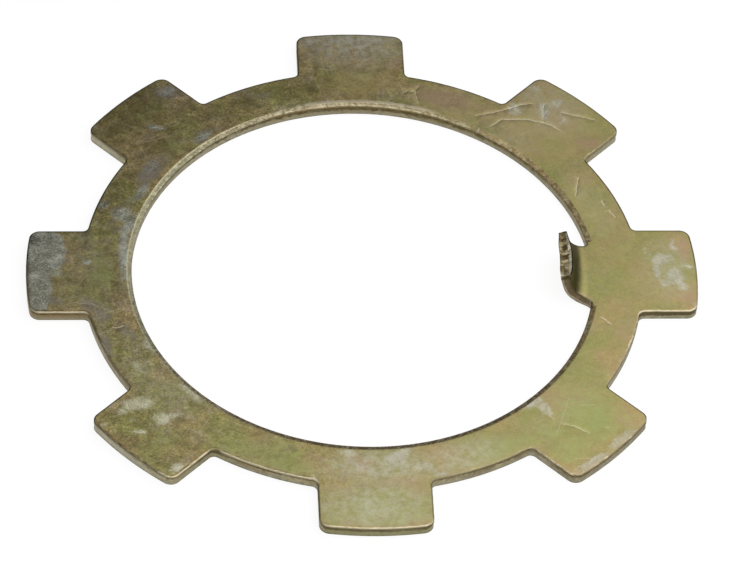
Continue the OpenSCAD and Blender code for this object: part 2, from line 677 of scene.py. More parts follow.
# Places where the plating is rubbed
GREY_RUBS: tuple[Patch, ...] = (
    Patch(-41.5, 3.6, 2.8, 4.0, 0, 1.3, 0.45),
    Patch(-42.5, 4.8, 2.6, 3.0, 0, 1.3, 0.4),
    Patch(-42.5, -2.6, 2.0, 5.4, 0, 1.2, 0.4),
    Patch(-39.6, -0.4, 1.0, 1.0, 0, 0.8),
    Patch(-35.9, 1.6, 1.5, 0.8, 0, 0.75),
    Patch(-36.6, 6.2, 2.4, 0.8, 0, 0.5),
    Patch(-31.0, 2.5, 0.9, 6.0, 0, 0.95),
    Patch(-30.3, 8.0, 0.9, 3.6, -18, 1.0),
    Patch(-28.6, 14.0, 0.9, 2.6, -28, 0.85),
    Patch(-31.3, 10.4, 1.8, 1.9, -15, 0.95),
    Patch(-33.6, 11.8, 1.0, 1.2, -15, 0.8),
    Patch(-30.2, 12.6, 0.9, 1.2, -20, 0.6),
    Patch(-24.9, 32.7, 1.8, 1.1, 30, 0.7),
    Patch(-26.4, 26.0, 1.5, 0.35, -12, 1.0),
    Patch(-20.2, 24.4, 1.8, 0.9, 40, 0.85),
    Patch(-27.6, 18.4, 1.2, 3.4, -25, 0.5),
    Patch(2.2, 39.9, 3.6, 1.1, 20, 1.35),
    Patch(1.2, 38.8, 2.0, 0.8, 8, 1.0),
    Patch(4.8, 41.0, 1.6, 0.9, -30, 0.7),
    Patch(-2.6, 41.2, 3.0, 1.0, 0, 0.5),
    Patch(-5.4, 42.0, 1.2, 1.2, 0, 0.7),
    Patch(4.4, 32.0, 2.6, 1.2, -8, 0.4),
    Patch(21.6, 29.5, 1.3, 1.7, 10, 0.75),
    Patch(25.6, 29.2, 0.9, 2.2, 5, 1.0),
    Patch(27.4, 30.6, 1.2, 1.0, 0, 0.9),
    Patch(28.3, 27.4, 0.8, 1.1, 0, 0.75),
    Patch(24.6, 33.2, 1.8, 0.9, -30, 0.6),
    Patch(39.4, 2.2, 1.7, 1.1, -10, 1.15),
    Patch(38.5, 0.3, 0.6, 2.8, 5, 1.0),
    Patch(40.8, -0.9, 1.3, 1.8, 15, 1.25),
    Patch(39.3, -2.2, 1.4, 0.6, 0, 0.8),
    Patch(41.6, -2.9, 1.0, 0.9, 0, 0.85),
    Patch(40.9, 3.9, 0.6, 1.3, 10, 0.85),
    Patch(41.3, 5.0, 0.8, 0.4, 0, 0.7),
    Patch(39.9, -4.2, 0.7, 0.4, 0, 0.75),
    Patch(37.3, 3.6, 0.4, 1.4, 10, 0.6),
    Patch(42.4, 0.7, 1.0, 0.3, -15, 0.95),
    Patch(43.0, -6.1, 0.5, 0.5, 0, 1.1),
    Patch(31.8, -29.0, 3.2, 0.9, 46, 0.85),
    Patch(27.4, -33.2, 4.0, 0.9, 40, 0.85),
    Patch(20.6, -22.9, 1.9, 1.0, 40, 0.95),
    Patch(22.3, -24.0, 0.9, 1.6, 20, 0.7),
    Patch(3.1, -31.9, 2.4, 1.0, 35, 1.15),
    Patch(6.4, -33.6, 2.0, 1.0, 10, 0.7),
    Patch(-3.0, -31.2, 1.4, 0.8, 0, 0.9),
    Patch(-4.7, -40.0, 1.3, 0.8, 0, 0.6),
    Patch(-7.6, -36.0, 0.6, 1.6, 0, 0.75),
    Patch(8.3, -34.8, 1.2, 0.6, 10, 0.8),
    Patch(-29.6, -22.9, 2.6, 1.3, 8, 1.25),
    Patch(-31.4, -24.0, 1.2, 0.8, 30, 0.9),
    Patch(-26.6, -25.4, 1.4, 1.5, 20, 1.0),
    Patch(-25.2, -24.7, 1.6, 0.6, 0, 0.8),
    Patch(-29.4, -27.5, 1.5, 0.6, -15, 0.95),
    Patch(-30.3, -25.5, 0.9, 0.5, 30, 0.6),
    Patch(-24.8, -33.6, 1.5, 0.9, 25, 0.9),
    Patch(-33.9, -26.4, 0.8, 0.7, 0, 0.7),
    Patch(-27.9, -13.0, 1.0, 2.2, 25, 0.75),
    Patch(-22.6, -21.0, 0.9, 3.0, 45, 0.7),
    Patch(-29.4, -16.8, 1.3, 1.8, 20, 0.5),
)

# Pale haze
HAZE: tuple[Patch, ...] = (
    Patch(1.0, -33.4, 9.0, 3.4, 0, 0.8),
    Patch(0.0, -40.0, 9.0, 4.6, 0, 0.74),
    Patch(11.5, -32.0, 6.5, 3.2, 20, 0.58),
    Patch(24.0, -24.0, 7.0, 4.0, 45, 0.1),
    Patch(20.0, 25.0, 6.0, 5.0, -40, 0.3),
    Patch(26.0, 30.0, 7.0, 6.0, -45, 0.45),
    Patch(30.5, 12.5, 3.0, 8.0, 20, 0.2),
    Patch(13.0, 30.6, 6.0, 3.0, -20, 0.15),
    Patch(1.0, 40.6, 8.6, 4.0, 3, 1.0),
    Patch(0.0, 42.0, 8.0, 2.8, 3, 1.5),
    Patch(3.1, -31.8, 2.6, 1.2, 35, 1.2),
    Patch(40.0, 0.0, 4.0, 6.5, 0, 0.36),
    Patch(-26.5, -20.0, 4.0, 7.0, 40, 0.3),
    Patch(-37.6, 0.5, 7.0, 8.0, 0, 0.22),
)

# Pink tints on the right and lilac ones on the left
LILAC_TINTS: tuple[Patch, ...] = (
    Patch(-34.0, -7.4, 2.0, 2.6, 0, 0.85),
    Patch(-27.2, 18.0, 1.7, 4.4, -30, 1.0),
    Patch(-32.3, 8.2, 1.2, 2.6, 0, 0.6),
    Patch(-24.9, 32.7, 2.6, 1.8, 30, 0.9),
    Patch(-26.4, 26.0, 2.0, 0.9, -12, 0.6),
    Patch(-20.2, 24.4, 2.4, 1.6, 40, 0.7),
    Patch(42.3, 3.8, 1.2, 2.8, 0, 1.0),
    Patch(42.2, -4.6, 1.4, 1.8, 0, 0.8),
    Patch(-2.0, -33.0, 3.0, 1.8, 0, 0.45),
    Patch(3.0, -36.5, 4.0, 1.6, 0, 0.4),
    Patch(12.2, 31.4, 5.0, 1.9, -17, 1.25),
    Patch(16.8, 29.4, 2.4, 1.6, -25, 0.6),
    Patch(8.6, 33.4, 2.6, 1.2, -12, 0.6),
    Patch(5.8, 38.6, 1.8, 2.4, 0, 0.7),
    Patch(27.5, 28.5, 5.0, 5.0, 0, 0.5),
    Patch(31.0, 23.0, 2.8, 1.9, 0, 0.85),
    Patch(-40.2, -5.2, 2.0, 1.3, 0, 0.9),
    Patch(-35.6, -5.8, 2.2, 1.4, -30, 0.8),
    Patch(-33.5, -13.2, 1.4, 2.6, 20, 0.9),
    Patch(-4.7, -40.0, 1.8, 1.2, 0, 0.7),
    Patch(1.6, -38.8, 1.6, 1.4, 0, 0.4),
    Patch(24.0, 22.0, 3.0, 1.6, -50, 0.5),
    Patch(-30.5, -11.0, 1.6, 3.6, 20, 0.6),
    Patch(-25.0, -23.0, 2.6, 1.4, -40, 0.45),
    Patch(33.0, -11.0, 1.6, 3.2, -15, 0.5),
    Patch(31.6, -25.8, 0.8, 1.6, 40, 0.5),
    Patch(-12.0, 32.0, 3.2, 1.2, 15, 0.5),
)

# Green tints
GREEN_TINTS: tuple[Patch, ...] = (
    Patch(-42.5, -1.0, 1.4, 4.0, 0, 0.7),
    Patch(28.0, -25.0, 8.0, 5.0, -40, 0.8),
    Patch(26.0, -30.0, 5.0, 3.0, 45, 0.7),
    Patch(22.5, -27.5, 3.2, 2.0, 0, 0.6),
    Patch(0.0, -40.5, 9.0, 4.2, 0, 0.95),
    Patch(-14.0, -31.8, 9.0, 3.2, -20, 0.7),
    Patch(15.5, -31.4, 8.0, 3.2, 25, 0.8),
    Patch(12.5, -31.5, 3.6, 1.8, 20, 0.55),
    Patch(-26.5, -29.0, 3.6, 2.6, 30, 0.6),
    Patch(33.5, 4.5, 3.0, 4.6, 0, 0.45),
    Patch(31.0, 27.0, 3.0, 2.0, -40, 0.25),
    Patch(1.0, 36.4, 3.6, 1.2, 0, 0.45),
    Patch(-34.0, 0.5, 2.6, 5.6, 0, 0.7),
    Patch(-36.5, -4.0, 2.4, 2.6, 0, 0.6),
    Patch(-27.0, 29.0, 2.4, 4.0, -45, 0.5),
    Patch(-24.6, 22.6, 2.6, 2.4, 0, 0.6),
    Patch(-4.0, -33.5, 3.0, 2.0, 0, 0.5),
)

# Dark stains
DARK_STAINS: tuple[Patch, ...] = (
    Patch(-30.5, 30.0, 9.0, 7.6, 45, 0.8),
    Patch(-26.0, 23.0, 6.0, 4.0, 45, 0.55),
    Patch(-17.0, 29.0, 8.0, 2.6, 30, 0.5),
    Patch(-7.0, 33.5, 8.0, 2.6, 12, 0.45),
    Patch(-36.4, 4.8, 1.6, 3.0, 0, 0.6),
    Patch(-36.6, -2.6, 3.2, 4.0, 0, 0.5),
    Patch(-43.5, 0.0, 0.5, 8.0, 0, 0.8),
    Patch(-38.0, 7.2, 6.0, 0.7, 0, 0.8),
    Patch(-42.7, 5.6, 1.6, 1.5, 0, 1.1),
    Patch(-42.7, 1.4, 0.8, 0.9, 0, 0.6),
    Patch(-29.4, -26.0, 1.8, 1.3, 0, 0.65),
    Patch(-26.2, -28.2, 2.8, 1.2, 0, 0.45),
    Patch(-31.6, -29.0, 1.6, 1.6, 0, 0.6),
    Patch(-24.3, -29.4, 2.4, 2.0, 0, 0.55),
    Patch(-32.5, -3.5, 1.8, 5.0, 0, 0.5),
    Patch(-32.5, 13.0, 2.4, 5.0, -20, 0.6),
    Patch(-30.0, 16.6, 1.6, 2.4, -30, 0.7),
    Patch(-30.5, -20.0, 2.0, 3.0, 30, 0.4),
    Patch(-33.0, -25.0, 3.0, 1.4, 45, 0.45),
    Patch(-27.0, -31.5, 5.0, 1.4, -45, 0.4),
    Patch(30.0, -30.0, 8.0, 7.0, 0, 0.16),
    Patch(24.0, -24.0, 4.5, 5.0, 0, 0.13),
)

# Stretches of the walls that are paler: painted light
LIT_WALLS: tuple[Patch, ...] = (
    Patch(-33.0, -29.0, 8.0, 3.2, -45, 1.1),
    Patch(-33.6, 23.4, 5.6, 2.4, -45, 0.9),
    Patch(-18.5, 23.0, 9.0, 3.0, 40, 0.5),
)

# Stretches of the walls whose dark land reaches further down: painted shade
SHADED_LANDS: tuple[Patch, ...] = (
    Patch(39.5, -7.3, 5.5, 1.6, 0, 0.9, 0.5),
    Patch(0.0, -43.7, 8.5, 1.6, 0, 0.45, 0.5),
    Patch(-20.8, -32.6, 4.6, 1.2, 45, 0.7, 0.5),
)

# Stretches of the walls that are olive
OLIVE_WALLS: tuple[Patch, ...] = (
    Patch(0.0, -43.7, 9.0, 2.4, 0, 1.0, 0.4),
    Patch(-20.8, -32.6, 5.0, 1.6, 45, 0.7, 0.4),
)

# Warm golden tints
GOLD_TINTS: tuple[Patch, ...] = (
    Patch(26.0, 27.0, 11.0, 8.0, 45, 0.9),
    Patch(14.0, 30.0, 9.0, 4.0, -25, 0.8),
    Patch(1.5, 34.6, 7.0, 3.4, 0, 0.7),
    Patch(30.0, 12.0, 4.0, 7.0, 20, 0.5),
    Patch(-1.0, -40.0, 8.0, 5.0, 0, 0.25),
)

# Stretches of the upper edge that catch the light
BRIGHT_EDGES: tuple[Patch, ...] = (
    Patch(-39.5, -7.2, 5.5, 1.5, 0, 1.0, 0.6),
    Patch(0.0, -43.7, 8.5, 2.0, 0, 0.9, 0.6),
    Patch(-12.4, -34.2, 8.0, 2.5, -20, 1.0, 0.6),
    Patch(-23.2, -33.4, 4.5, 1.6, 45, 0.6, 0.6),
    Patch(-26.5, -35.6, 2.6, 1.6, 0, 0.9, 0.6),
    Patch(39.5, -7.2, 5.5, 1.5, 0, 0.85, 0.6),
    Patch(34.3, -12.0, 1.6, 5.0, -15, 0.5, 0.6),
    Patch(23.2, -33.4, 4.5, 1.6, -45, 0.6, 0.6),
    Patch(30.9, -30.9, 7.0, 2.0, 45, 0.15, 0.6),
)

# Scratches of the upper face
SCRATCHES: tuple[Scratch, ...] = (
    Scratch(
        ((17.3, 25.9), (18.3, 26.3), (19.7, 27.5), (23.2, 27.5), (24.6, 27.1), (26.3, 26.5), (28.2, 24.9)),
        0.19,
    ),
    Scratch(((15.4, 28.0), (18.4, 28.8), (20.6, 29.4), (22.6, 30.3), (25.0, 30.6)), 0.15, 0.75),
    Scratch(((27.5, 29.0), (29.4, 28.3), (32.8, 27.3)), 0.14, 0.8),
    Scratch(((25.7, 30.6), (25.4, 28.7), (25.3, 26.9)), 0.17, 0.9),
    Scratch(((21.2, 30.6), (21.7, 29.6), (22.4, 28.6)), 0.15, 0.7),
    Scratch(((23.4, 34.2), (24.6, 33.0), (25.2, 31.8)), 0.13, 0.5),
    Scratch(((29.4, 17.2), (29.0, 15.2), (28.7, 13.0)), 0.15, 0.8),
    Scratch(((32.3, 12.8), (32.2, 12.2), (32.5, 11.4)), 0.15, 0.8),
    Scratch(((32.9, 10.9), (33.3, 10.3), (33.8, 9.4)), 0.15, 0.8),
    Scratch(((32.3, 10.6), (33.2, 10.8)), 0.12, 0.5),
    Scratch(((31.1, 4.3), (31.7, 3.9), (32.4, 3.1)), 0.12, 0.25),
    Scratch(((30.3, -8.1), (31.0, -8.6), (31.9, -9.6)), 0.16, 0.9),
    Scratch(((29.6, -27.1), (30.4, -27.2)), 0.14, 0.4),
    Scratch(((25.7, -21.2), (24.3, -25.8), (23.9, -26.6), (23.3, -29.0)), 0.12, 0.24),
    Scratch(((22.6, -23.4), (22.9, -25.2), (23.5, -26.0)), 0.12, 0.45),
    Scratch(((24.0, -26.4), (26.1, -27.0), (27.8, -28.2)), 0.15, 0.65),
    Scratch(((26.4, -23.4), (29.0, -23.2)), 0.11, 0.3),
    Scratch(((24.4, -32.9), (26.2, -32.2), (28.1, -32.4)), 0.12, 0.35),
    Scratch(((34.0, -14.6), (34.3, -15.6), (33.7, -16.6)), 0.14, 0.6),
    Scratch(((32.2, -15.6), (33.2, -16.2)), 0.13, 0.4),
    Scratch(((-32.7, -9.9), (-31.9, -9.9), (-31.1, -9.4)), 0.22),
    Scratch(((-38.5, -5.4), (-35.4, -5.7), (-31.6, -7.5)), 0.12, 0.5),
    Scratch(((-27.6, 26.2), (-26.4, 26.0), (-25.3, 25.7)), 0.16, 0.45),
    Scratch(((9.2, 34.4), (8.4, 32.7), (8.9, 30.0)), 0.13, 0.6),
    Scratch(((6.4, 32.2), (7.4, 32.9), (9.0, 32.5)), 0.14, 0.7),
    Scratch(((-2.8, 31.6), (-3.6, 30.2)), 0.2, 0.8),
    Scratch(((42.3, 0.9), (43.1, 0.4)), 0.16, 0.7),
    Scratch(((-20.2, -24.6), (-22.3, -28.5)), 0.1, 0.2),
    Scratch(((12.4, -33.4), (12.6, -35.0), (12.2, -36.2)), 0.1, 0.3),
    Scratch(((-1.4, -38.6), (-1.1, -41.2)), 0.1, 0.15),
)


@dataclass(frozen=True)
class Bend:
    """Carries the flat blank to the washer with its key tab bent up.

    Args:
        blank: Sizes of the washer.
    """

    blank: Blank

    def apply(self, flat: np.ndarray) -> np.ndarray:
        """Bends the key tab.

        Args:
            flat: Points of the blank.

        Returns:
            Their places on the washer.
        """
        b = self.blank
        bent = flat.copy()
        run = b.bend_start_r - np.linalg.norm(flat[:, :2], axis=1)
        tab = (run > 0) & (flat[:, 0] > 0)
        run, y, z = run[tab], flat[tab, 1], flat[tab, 2]
        angle = np.minimum(run / b.neutral_r, b.bend_angle)
        straight = np.maximum(run - b.bend_run, 0.0)
        pivot = b.sheet + b.bend_r
        out = b.bend_start_r - (pivot - z) * np.sin(angle) - straight * math.cos(b.bend_angle)
        up = pivot - (pivot - z) * np.cos(angle) + straight * math.sin(b.bend_angle)
        bent[tab] = np.column_stack((np.sqrt(out**2 - y**2), y, up))
        return bent


@dataclass(frozen=True)
class Relief:
    """Shallow forms that shearing, bending and wear leave on the blank.

    Args:
        blank: Sizes of the washer.
        thin_far: How far the key tab thins to its far corner.
        thin_near: How far it thins to its near corner.
        slant: How far its end slants to the far corner.
        land: Height of the lower border of a wall's smooth land.
        land_jag: How far that border wanders.
        wall_depths: Depth of the torn zone of a wall: least, more in streaks, more in coarse spots.
        streak_depth: Depth of the streaks over the whole wall.
        end_depths: Depth of the key tab's torn end: least, more in bands, more in crumbs.
        nick: How far a nick in the upper edge goes inward.
        nick_drop: How far it goes down.
        burr: Height of the burr on the torn end.
        burr_lean: How far the burr leans away from the axis.
        wave: Mean depth of the waviness of the faces.
        wave_limit: Its greatest depth.
        groove: Depth of a scratch.
        steep: Least sideways part of the normal of a wall.
        wall_span: Heights between which a wall has its grain.
        flush: How near to the height of a face a point counts as on it.
    """

    blank: Blank
    thin_far: float = 0.4
    thin_near: float = 0.22
    slant: float = 0.35
    land: float = 0.82
    land_jag: float = 0.14
    wall_depths: tuple[float, float, float] = (0.035, 0.045, 0.04)
    streak_depth: float = 0.006
    end_depths: tuple[float, float, float] = (0.05, 0.2, 0.1)
    nick: float = 0.07
    nick_drop: float = 0.035
    burr: float = 0.24
    burr_lean: float = 0.09
    wave: float = 0.004
    wave_limit: float = 0.01
    groove: float = 0.012
    steep: float = 0.75
    wall_span: tuple[float, float] = (0.015, 1.36)
    flush: float = 0.01

    def drawn(self, flat: np.ndarray, run: np.ndarray) -> np.ndarray:
        """Shift of the key tab where the shearing drew it thin.

        Args:
            flat: Places on the blank.
            run: How far each lies from the start of the bend, towards the axis.

        Returns:
            One shift for each place.
        """
        b = self.blank
        leaf = np.where(flat[:, 0] > 0, ease(run, 0.6, 3.2), 0.0)
        thin = self.thin_far * ease(flat[:, 1], 1.2, b.key_far)
        thin += self.thin_near * ease(-flat[:, 1], 2.4, b.key_near)
        up = leaf * thin * (1.0 - flat[:, 2] / b.sheet)
        end = leaf * ease(run, b.bend_run, b.bend_run + b.leaf_len) * ease(flat[:, 1], 2.1, 4.6)
        return np.column_stack((self.slant * end, np.zeros(len(flat)), up))

    def burred(self, flat: np.ndarray, run: np.ndarray, torn: np.ndarray) -> np.ndarray:
        """Shift of the torn end's brink, where the burr stands.

        Args:
            flat: Places on the blank.
            run: How far each lies from the start of the bend, towards the axis.
            torn: How far each lies on the torn end.

        Returns:
            One shift for each place.
        """
        leaf = self.blank.bend_run
        burr = torn * ease(run, leaf + 1.4, leaf + 1.9) * ease(flat[:, 2], 1.05, 1.45)
        burr = burr * ease(flat[:, 1], -4.5, -2.6) * ease(-flat[:, 1], -3.6, -0.2) * (flat[:, 0] > 0)
        return np.outer(burr, (self.burr_lean, 0.0, self.burr))

    def grain(self, flat: np.ndarray, torn: np.ndarray) -> np.ndarray:
        """Depth of the grain of the sheared walls and of the torn end.

        Args:
            flat: Places on the blank.
            torn: How far each lies on the torn end.

        Returns:
            One depth for each place.
        """
        height = flat[:, 2]
        jag = self.land_jag * field_noise(flat, (0.9, 0.9, 0.0), 5.0)
        below = ease(self.land + jag - height, -0.05, 0.1)
        streak = half_noise(flat, (2.6, 2.6, 0.7), 11.0)
        coarse = half_noise(flat, (0.7, 0.7, 0.9), 21.0)
        least, streaked, spotted = self.wall_depths
        wall = below * (least + streaked * streak + spotted * coarse) + self.streak_depth * streak
        bands = half_noise(flat, (0.0, 0.85, 0.35), 31.0)
        crumbs = half_noise(flat, (2.4, 2.4, 2.4), 41.0)
        middle = ease(np.minimum(height, self.blank.sheet - height), 0.05, 0.35)
        least, banded, crumbled = self.end_depths
        end = middle * (least + banded * bands + crumbled * crumbs)
        return wall * (1.0 - torn) + end * torn

    def apply(self, flat: np.ndarray, normal: np.ndarray, values: dict[str, np.ndarray]) -> np.ndarray:
        """Lays all the relief on the blank.

        Args:
            flat: Places of the vertices on the blank.
            normal: Their normals.
            values: The marks on the washer, by name.

        Returns:
            The places with the relief, none of them outside the blank but for the burr.
        """
        b = self.blank
        height, torn = flat[:, 2], values["torn_end"]
        radius = np.linalg.norm(flat[:, :2], axis=1)
        run = b.bend_start_r - radius
        moved = flat + self.drawn(flat, run) + self.burred(flat, run, torn)
        size = np.linalg.norm(normal[:, :2], axis=1)
        outward = normal[:, :2] / np.maximum(size, 1e-6)[:, None]
        low, high = self.wall_span
        wall = (size > self.steep) & (height > low) & (height < high)
        moved[:, :2] -= outward * np.where(wall, self.grain(flat, torn), 0.0)[:, None]
        rolled = (radius > b.bore_r + 1.5) & (height > 0.9) & (height < b.sheet - 0.004) & (size > 0.15)
        bite = np.clip(field_noise(flat, (1.3, 1.3, 0.0), 61.0) - 0.25, 0.0, 1.0)
        bite = np.where(rolled, bite * ease(height, 0.9, 1.4) * (1.0 - 0.85 * values["edge_away"]), 0.0)
        moved[:, :2] -= outward * (self.nick * bite)[:, None]
        moved[:, 2] -= self.nick_drop * bite
        face = ~wall & ~rolled & (size < 0.3)
        upper = height > b.sheet - self.flush
        wave = self.wave * (1.0 + field_noise(flat, (0.12, 0.12, 0.0), 51.0))
        wave = np.clip(wave, 0.0, self.wave_limit)
        moved[:, 2] -= np.where(face & upper, wave, 0.0)
        moved[:, 2] += np.where(face & (height < self.flush), wave, 0.0)
        moved[upper & (values["scratch"] > 0.5), 2] -= self.groove
        return moved


@dataclass
class Washer:
    """The whole washer: edges, faces, relief, wear marks and finishes in one closed mesh.

    Args:
        blank: Sizes of the washer.
        grid: Distance between points on its faces.
        key_grid: Distance between points on the key tab.
        key_side: How far to each side the key tab's points reach.
        squeeze: Distance between rows on the faces, as a share of that along a row.
        shelves: Distance from an edge of each row along it, and which of its stations it takes.
        shelf_gap: Least distance of those rows from the other edges.
        spread_gap: Least distance of the other points from those rows.
        line_gap: Least distance of all points from a scratch.
        edge_gap: Least distance of a scratch from an edge.
        bm: Mesh that the washer is built in.
    """

    blank: Blank
    grid: float = 0.8
    key_grid: float = 0.3
    key_side: float = 7.5
    squeeze: float = 0.87
    shelves: tuple[tuple[float, int], ...] = ((0.3, 2), (0.75, 3))
    shelf_gap: float = 0.2
    spread_gap: float = 0.28
    line_gap: float = 0.22
    edge_gap: float = 0.12
    bm: bmesh.types.BMesh = field(default_factory=bmesh.new)

    @property
    def outer(self) -> OuterEdge:
        """Cut edge of the outline."""
        return OuterEdge(self.blank)

    @property
    def bore(self) -> BoreEdge:
        """Cut edge of the hole."""
        return BoreEdge(self.blank)

    def loops(self, height: float) -> list[list[bmesh.types.BMVert]]:
        """Finds the open rings of vertices on one side of the sheet.

        Args:
            height: Height of that side.

        Returns:
            The rings, the outer one first.
        """
        ways: dict[bmesh.types.BMVert, list[bmesh.types.BMVert]] = {}
        for edge in self.bm.edges:
            if edge.is_boundary and abs(edge.verts[0].co.z - height) < 1e-4:
                a, b = edge.verts
                ways.setdefault(a, []).append(b)
                ways.setdefault(b, []).append(a)
        found = []
        left = dict.fromkeys(ways)
        while left:
            here = next(iter(left))
            ring, last = [here], None
            del left[here]
            while onward := [v for v in ways[here] if v is not last and v in left]:
                last, here = here, onward[0]
                del left[here]
                ring.append(here)
            found.append(ring)
        return sorted(found, key=lambda ring: -max(v.co.x for v in ring))

    def lattice(self, rings: Sequence[np.ndarray]) -> np.ndarray:
        """Points spread over the metal, denser on the key tab and in two rows along each edge.

        Args:
            rings: The outer and the inner ring.

        Returns:
            The points.
        """
        reach = self.blank.tip_r
        across = np.arange(-reach, reach, self.grid)
        x, y = np.meshgrid(across, across * self.squeeze)
        x[1::2] += self.grid / 2
        coarse = clear(np.column_stack((x.ravel(), y.ravel())), rings, self.grid * 0.5)
        near = np.arange(self.blank.leaf_end_r, self.blank.bore_r + 1.5, self.key_grid)
        in_key = (coarse[:, 0] > near[0]) & (coarse[:, 0] < near[-1]) & (np.abs(coarse[:, 1]) < self.key_side)
        x, y = np.meshgrid(near, np.arange(-self.key_side, self.key_side - 1.0, self.key_grid))
        fine = clear(np.column_stack((x.ravel(), y.ravel())), rings, self.key_grid * 0.5)
        rows = []
        for ring in rings:
            way = inward(ring, closed=True)
            if not between((ring[0] + way[0] * 0.05)[None], rings)[0]:
                way = -way
            rows.extend((ring + way * offset)[::skip] for offset, skip in self.shelves)
        shelf = clear(np.vstack(rows), rings, self.shelf_gap)
        spread = np.vstack((coarse[~in_key], fine))
        return np.vstack((spread[distance(spread, shelf) > self.spread_gap], shelf))

    def score(self, points: np.ndarray, rings: Sequence[np.ndarray]) -> tuple[np.ndarray, Edges]:
        """Lays the scratches into the points, each as a middle line with one on each side.

        Args:
            points: Points spread over the metal.
            rings: The outer and the inner ring.

        Returns:
            The points with those of the scratches, and the edges that join the points of each line.
        """
        lines = []
        for scratch in SCRATCHES:
            middle = scratch.curve()
            way = inward(middle, closed=False) * scratch.width / 2
            lines.extend((middle, middle + way, middle - way))
        points = points[distance(points, np.vstack(lines)) > self.line_gap]
        edges: Edges = []
        for part in lines:
            if len(clear(part, rings, self.edge_gap)) == len(part):
                first = len(points)
                edges.extend((first + i, first + i + 1) for i in range(len(part) - 1))
                points = np.vstack((points, part))
        return points, edges

    def fill(self, height: float, upward: bool) -> None:
        """Closes one side of the sheet between its outer and inner ring.

        Args:
            height: Height of that side.
            upward: Whether it faces up, which is the side with the scratches.
        """
        loops = self.loops(height)
        rings = [np.array([v.co.xy for v in loop]) for loop in loops]
        points, marks = self.lattice(rings), []
        if upward:
            points, marks = self.score(points, rings)
        shared = [v for loop in loops for v in loop]
        edges = []
        first = 0
        for loop in loops:
            edges.extend((first + i, first + (i + 1) % len(loop)) for i in range(len(loop)))
            first += len(loop)
        edges.extend((first + a, first + b) for a, b in marks)
        coords = [Vector(p) for p in np.vstack([*rings, points])]
        verts, _, tris, origin, *_ = geometry.delaunay_2d_cdt(coords, edges, [], 0, 1e-6)
        centre = np.array([np.mean([verts[i] for i in tri], axis=0) for tri in tris])
        place = []
        for co, old in zip(verts, origin):
            known = [i for i in old if i < len(shared)]
            place.append(shared[known[0]] if known else self.bm.verts.new((co.x, co.y, height)))
        for tri, wanted in zip(tris, between(centre, rings)):
            corner = [place[i] for i in tri]
            if wanted and len(set(corner)) == 3:
                rises = geometry.normal([v.co for v in corner]).z > 0
                face = self.bm.faces.new(corner if rises == upward else corner[::-1])
                face.material_index = Finish.FACE.value

    def assemble(self, face_finish: bpy.types.Material) -> None:
        """Joins the edges and closes both sides.

        Args:
            face_finish: Material of the two faces.
        """
        edge = self.outer.build(face_finish)
        self.bm.from_mesh(edge)
        bpy.data.meshes.remove(edge)
        for face in self.bm.faces:
            wall = WALL_FOOT < face.calc_center_median().z < WALL_TOP
            face.material_index = (Finish.SHEARED if wall else Finish.FACE).value
        self.bore.add_to(self.bm)
        self.fill(self.blank.sheet, upward=True)
        self.fill(0.0, upward=False)
        loose = [v for v in self.bm.verts if not v.link_faces]
        bmesh.ops.delete(self.bm, geom=loose, context="VERTS")
        bmesh.ops.recalc_face_normals(self.bm, faces=self.bm.faces)

    def marks(self, flat: np.ndarray) -> dict[str, np.ndarray]:
        """Values that the relief and the finishes read at each vertex.

        Args:
            flat: Places on the blank before the relief.

        Returns:
            One array for each name.
        """
        b = self.blank
        plan = flat[:, :2]
        radius = np.linalg.norm(plan, axis=1)
        upper = flat[:, 2] > 1.0
        outline = np.vstack([self.outer.outline(), self.bore.stations()[0]])
        across_end = 1.0 - ease(np.abs(plan[:, 1] - 0.05), 3.7, 4.2)
        found = {
            "sheet_height": flat[:, 2] / b.sheet,
            "from_edge": np.minimum(distance(plan, outline), 3.0),
            "torn_end": np.where(radius - b.leaf_end_r < 0.3, across_end, 0.0),
            "from_bore": np.maximum(radius - b.bore_r, 0.0),
            # Ramp towards the back left for wear, grain and tints there; the darkening it brings is partly
            # painted shade
            "weather_and_shade": ease(0.35 * plan[:, 1] - 0.8 * plan[:, 0], -28.0, 26.0),
            "leftness": 0.5 - 0.5 * plan[:, 0] / b.tip_r,
            "topness": 0.5 + 0.5 * plan[:, 1] / b.tip_r,
            "fold_dark": self.fold_dark(plan) * upper,
            "on_leaf": ease(b.bore_r - radius, 0.0, 0.35),
            "shadow_under_end": ease(b.leaf_end_r + 0.75 - radius, 0.0, 0.4),
            "near_corner": ease(-plan[:, 1], 3.3, 4.0),
            "edge_away": self.edge_away(plan),
            "scratch": self.scratched(plan, upper),
        }
        for name, patches in (
            ("rubbed_grey", GREY_RUBS),
            ("tint_lilac", LILAC_TINTS),
            ("tint_green", GREEN_TINTS),
            ("stain_dark", DARK_STAINS),
            ("haze", HAZE),
            ("bright_edge", BRIGHT_EDGES),
            ("tint_gold", GOLD_TINTS),
            ("wall_lit", LIT_WALLS),
            ("wall_shaded", SHADED_LANDS),
            ("wall_olive", OLIVE_WALLS),
        ):
            value = np.max([patch.at(plan) for patch in patches], axis=0)
            found[name] = value if name.startswith("wall") else np.where(upper, value, 0.0)
        return found

    def scratched(self, plan: np.ndarray, upper: np.ndarray, reach: float = 9.0) -> np.ndarray:
        """Strength of the scratches on the upper face.

        Args:
            plan: Places seen from above.
            upper: Which of them lie on the upper side.
            reach: Distance from a scratch's middle beyond which it isn't looked for.

        Returns:
            One value for each place.
        """
        found = np.zeros(len(plan))
        for scratch in SCRATCHES:
            near = np.flatnonzero((np.abs(plan - scratch.curve().mean(axis=0)).max(axis=1) < reach) & upper)
            if len(near):
                found[near] = np.maximum(found[near], scratch.strength(plan[near]))
        return found

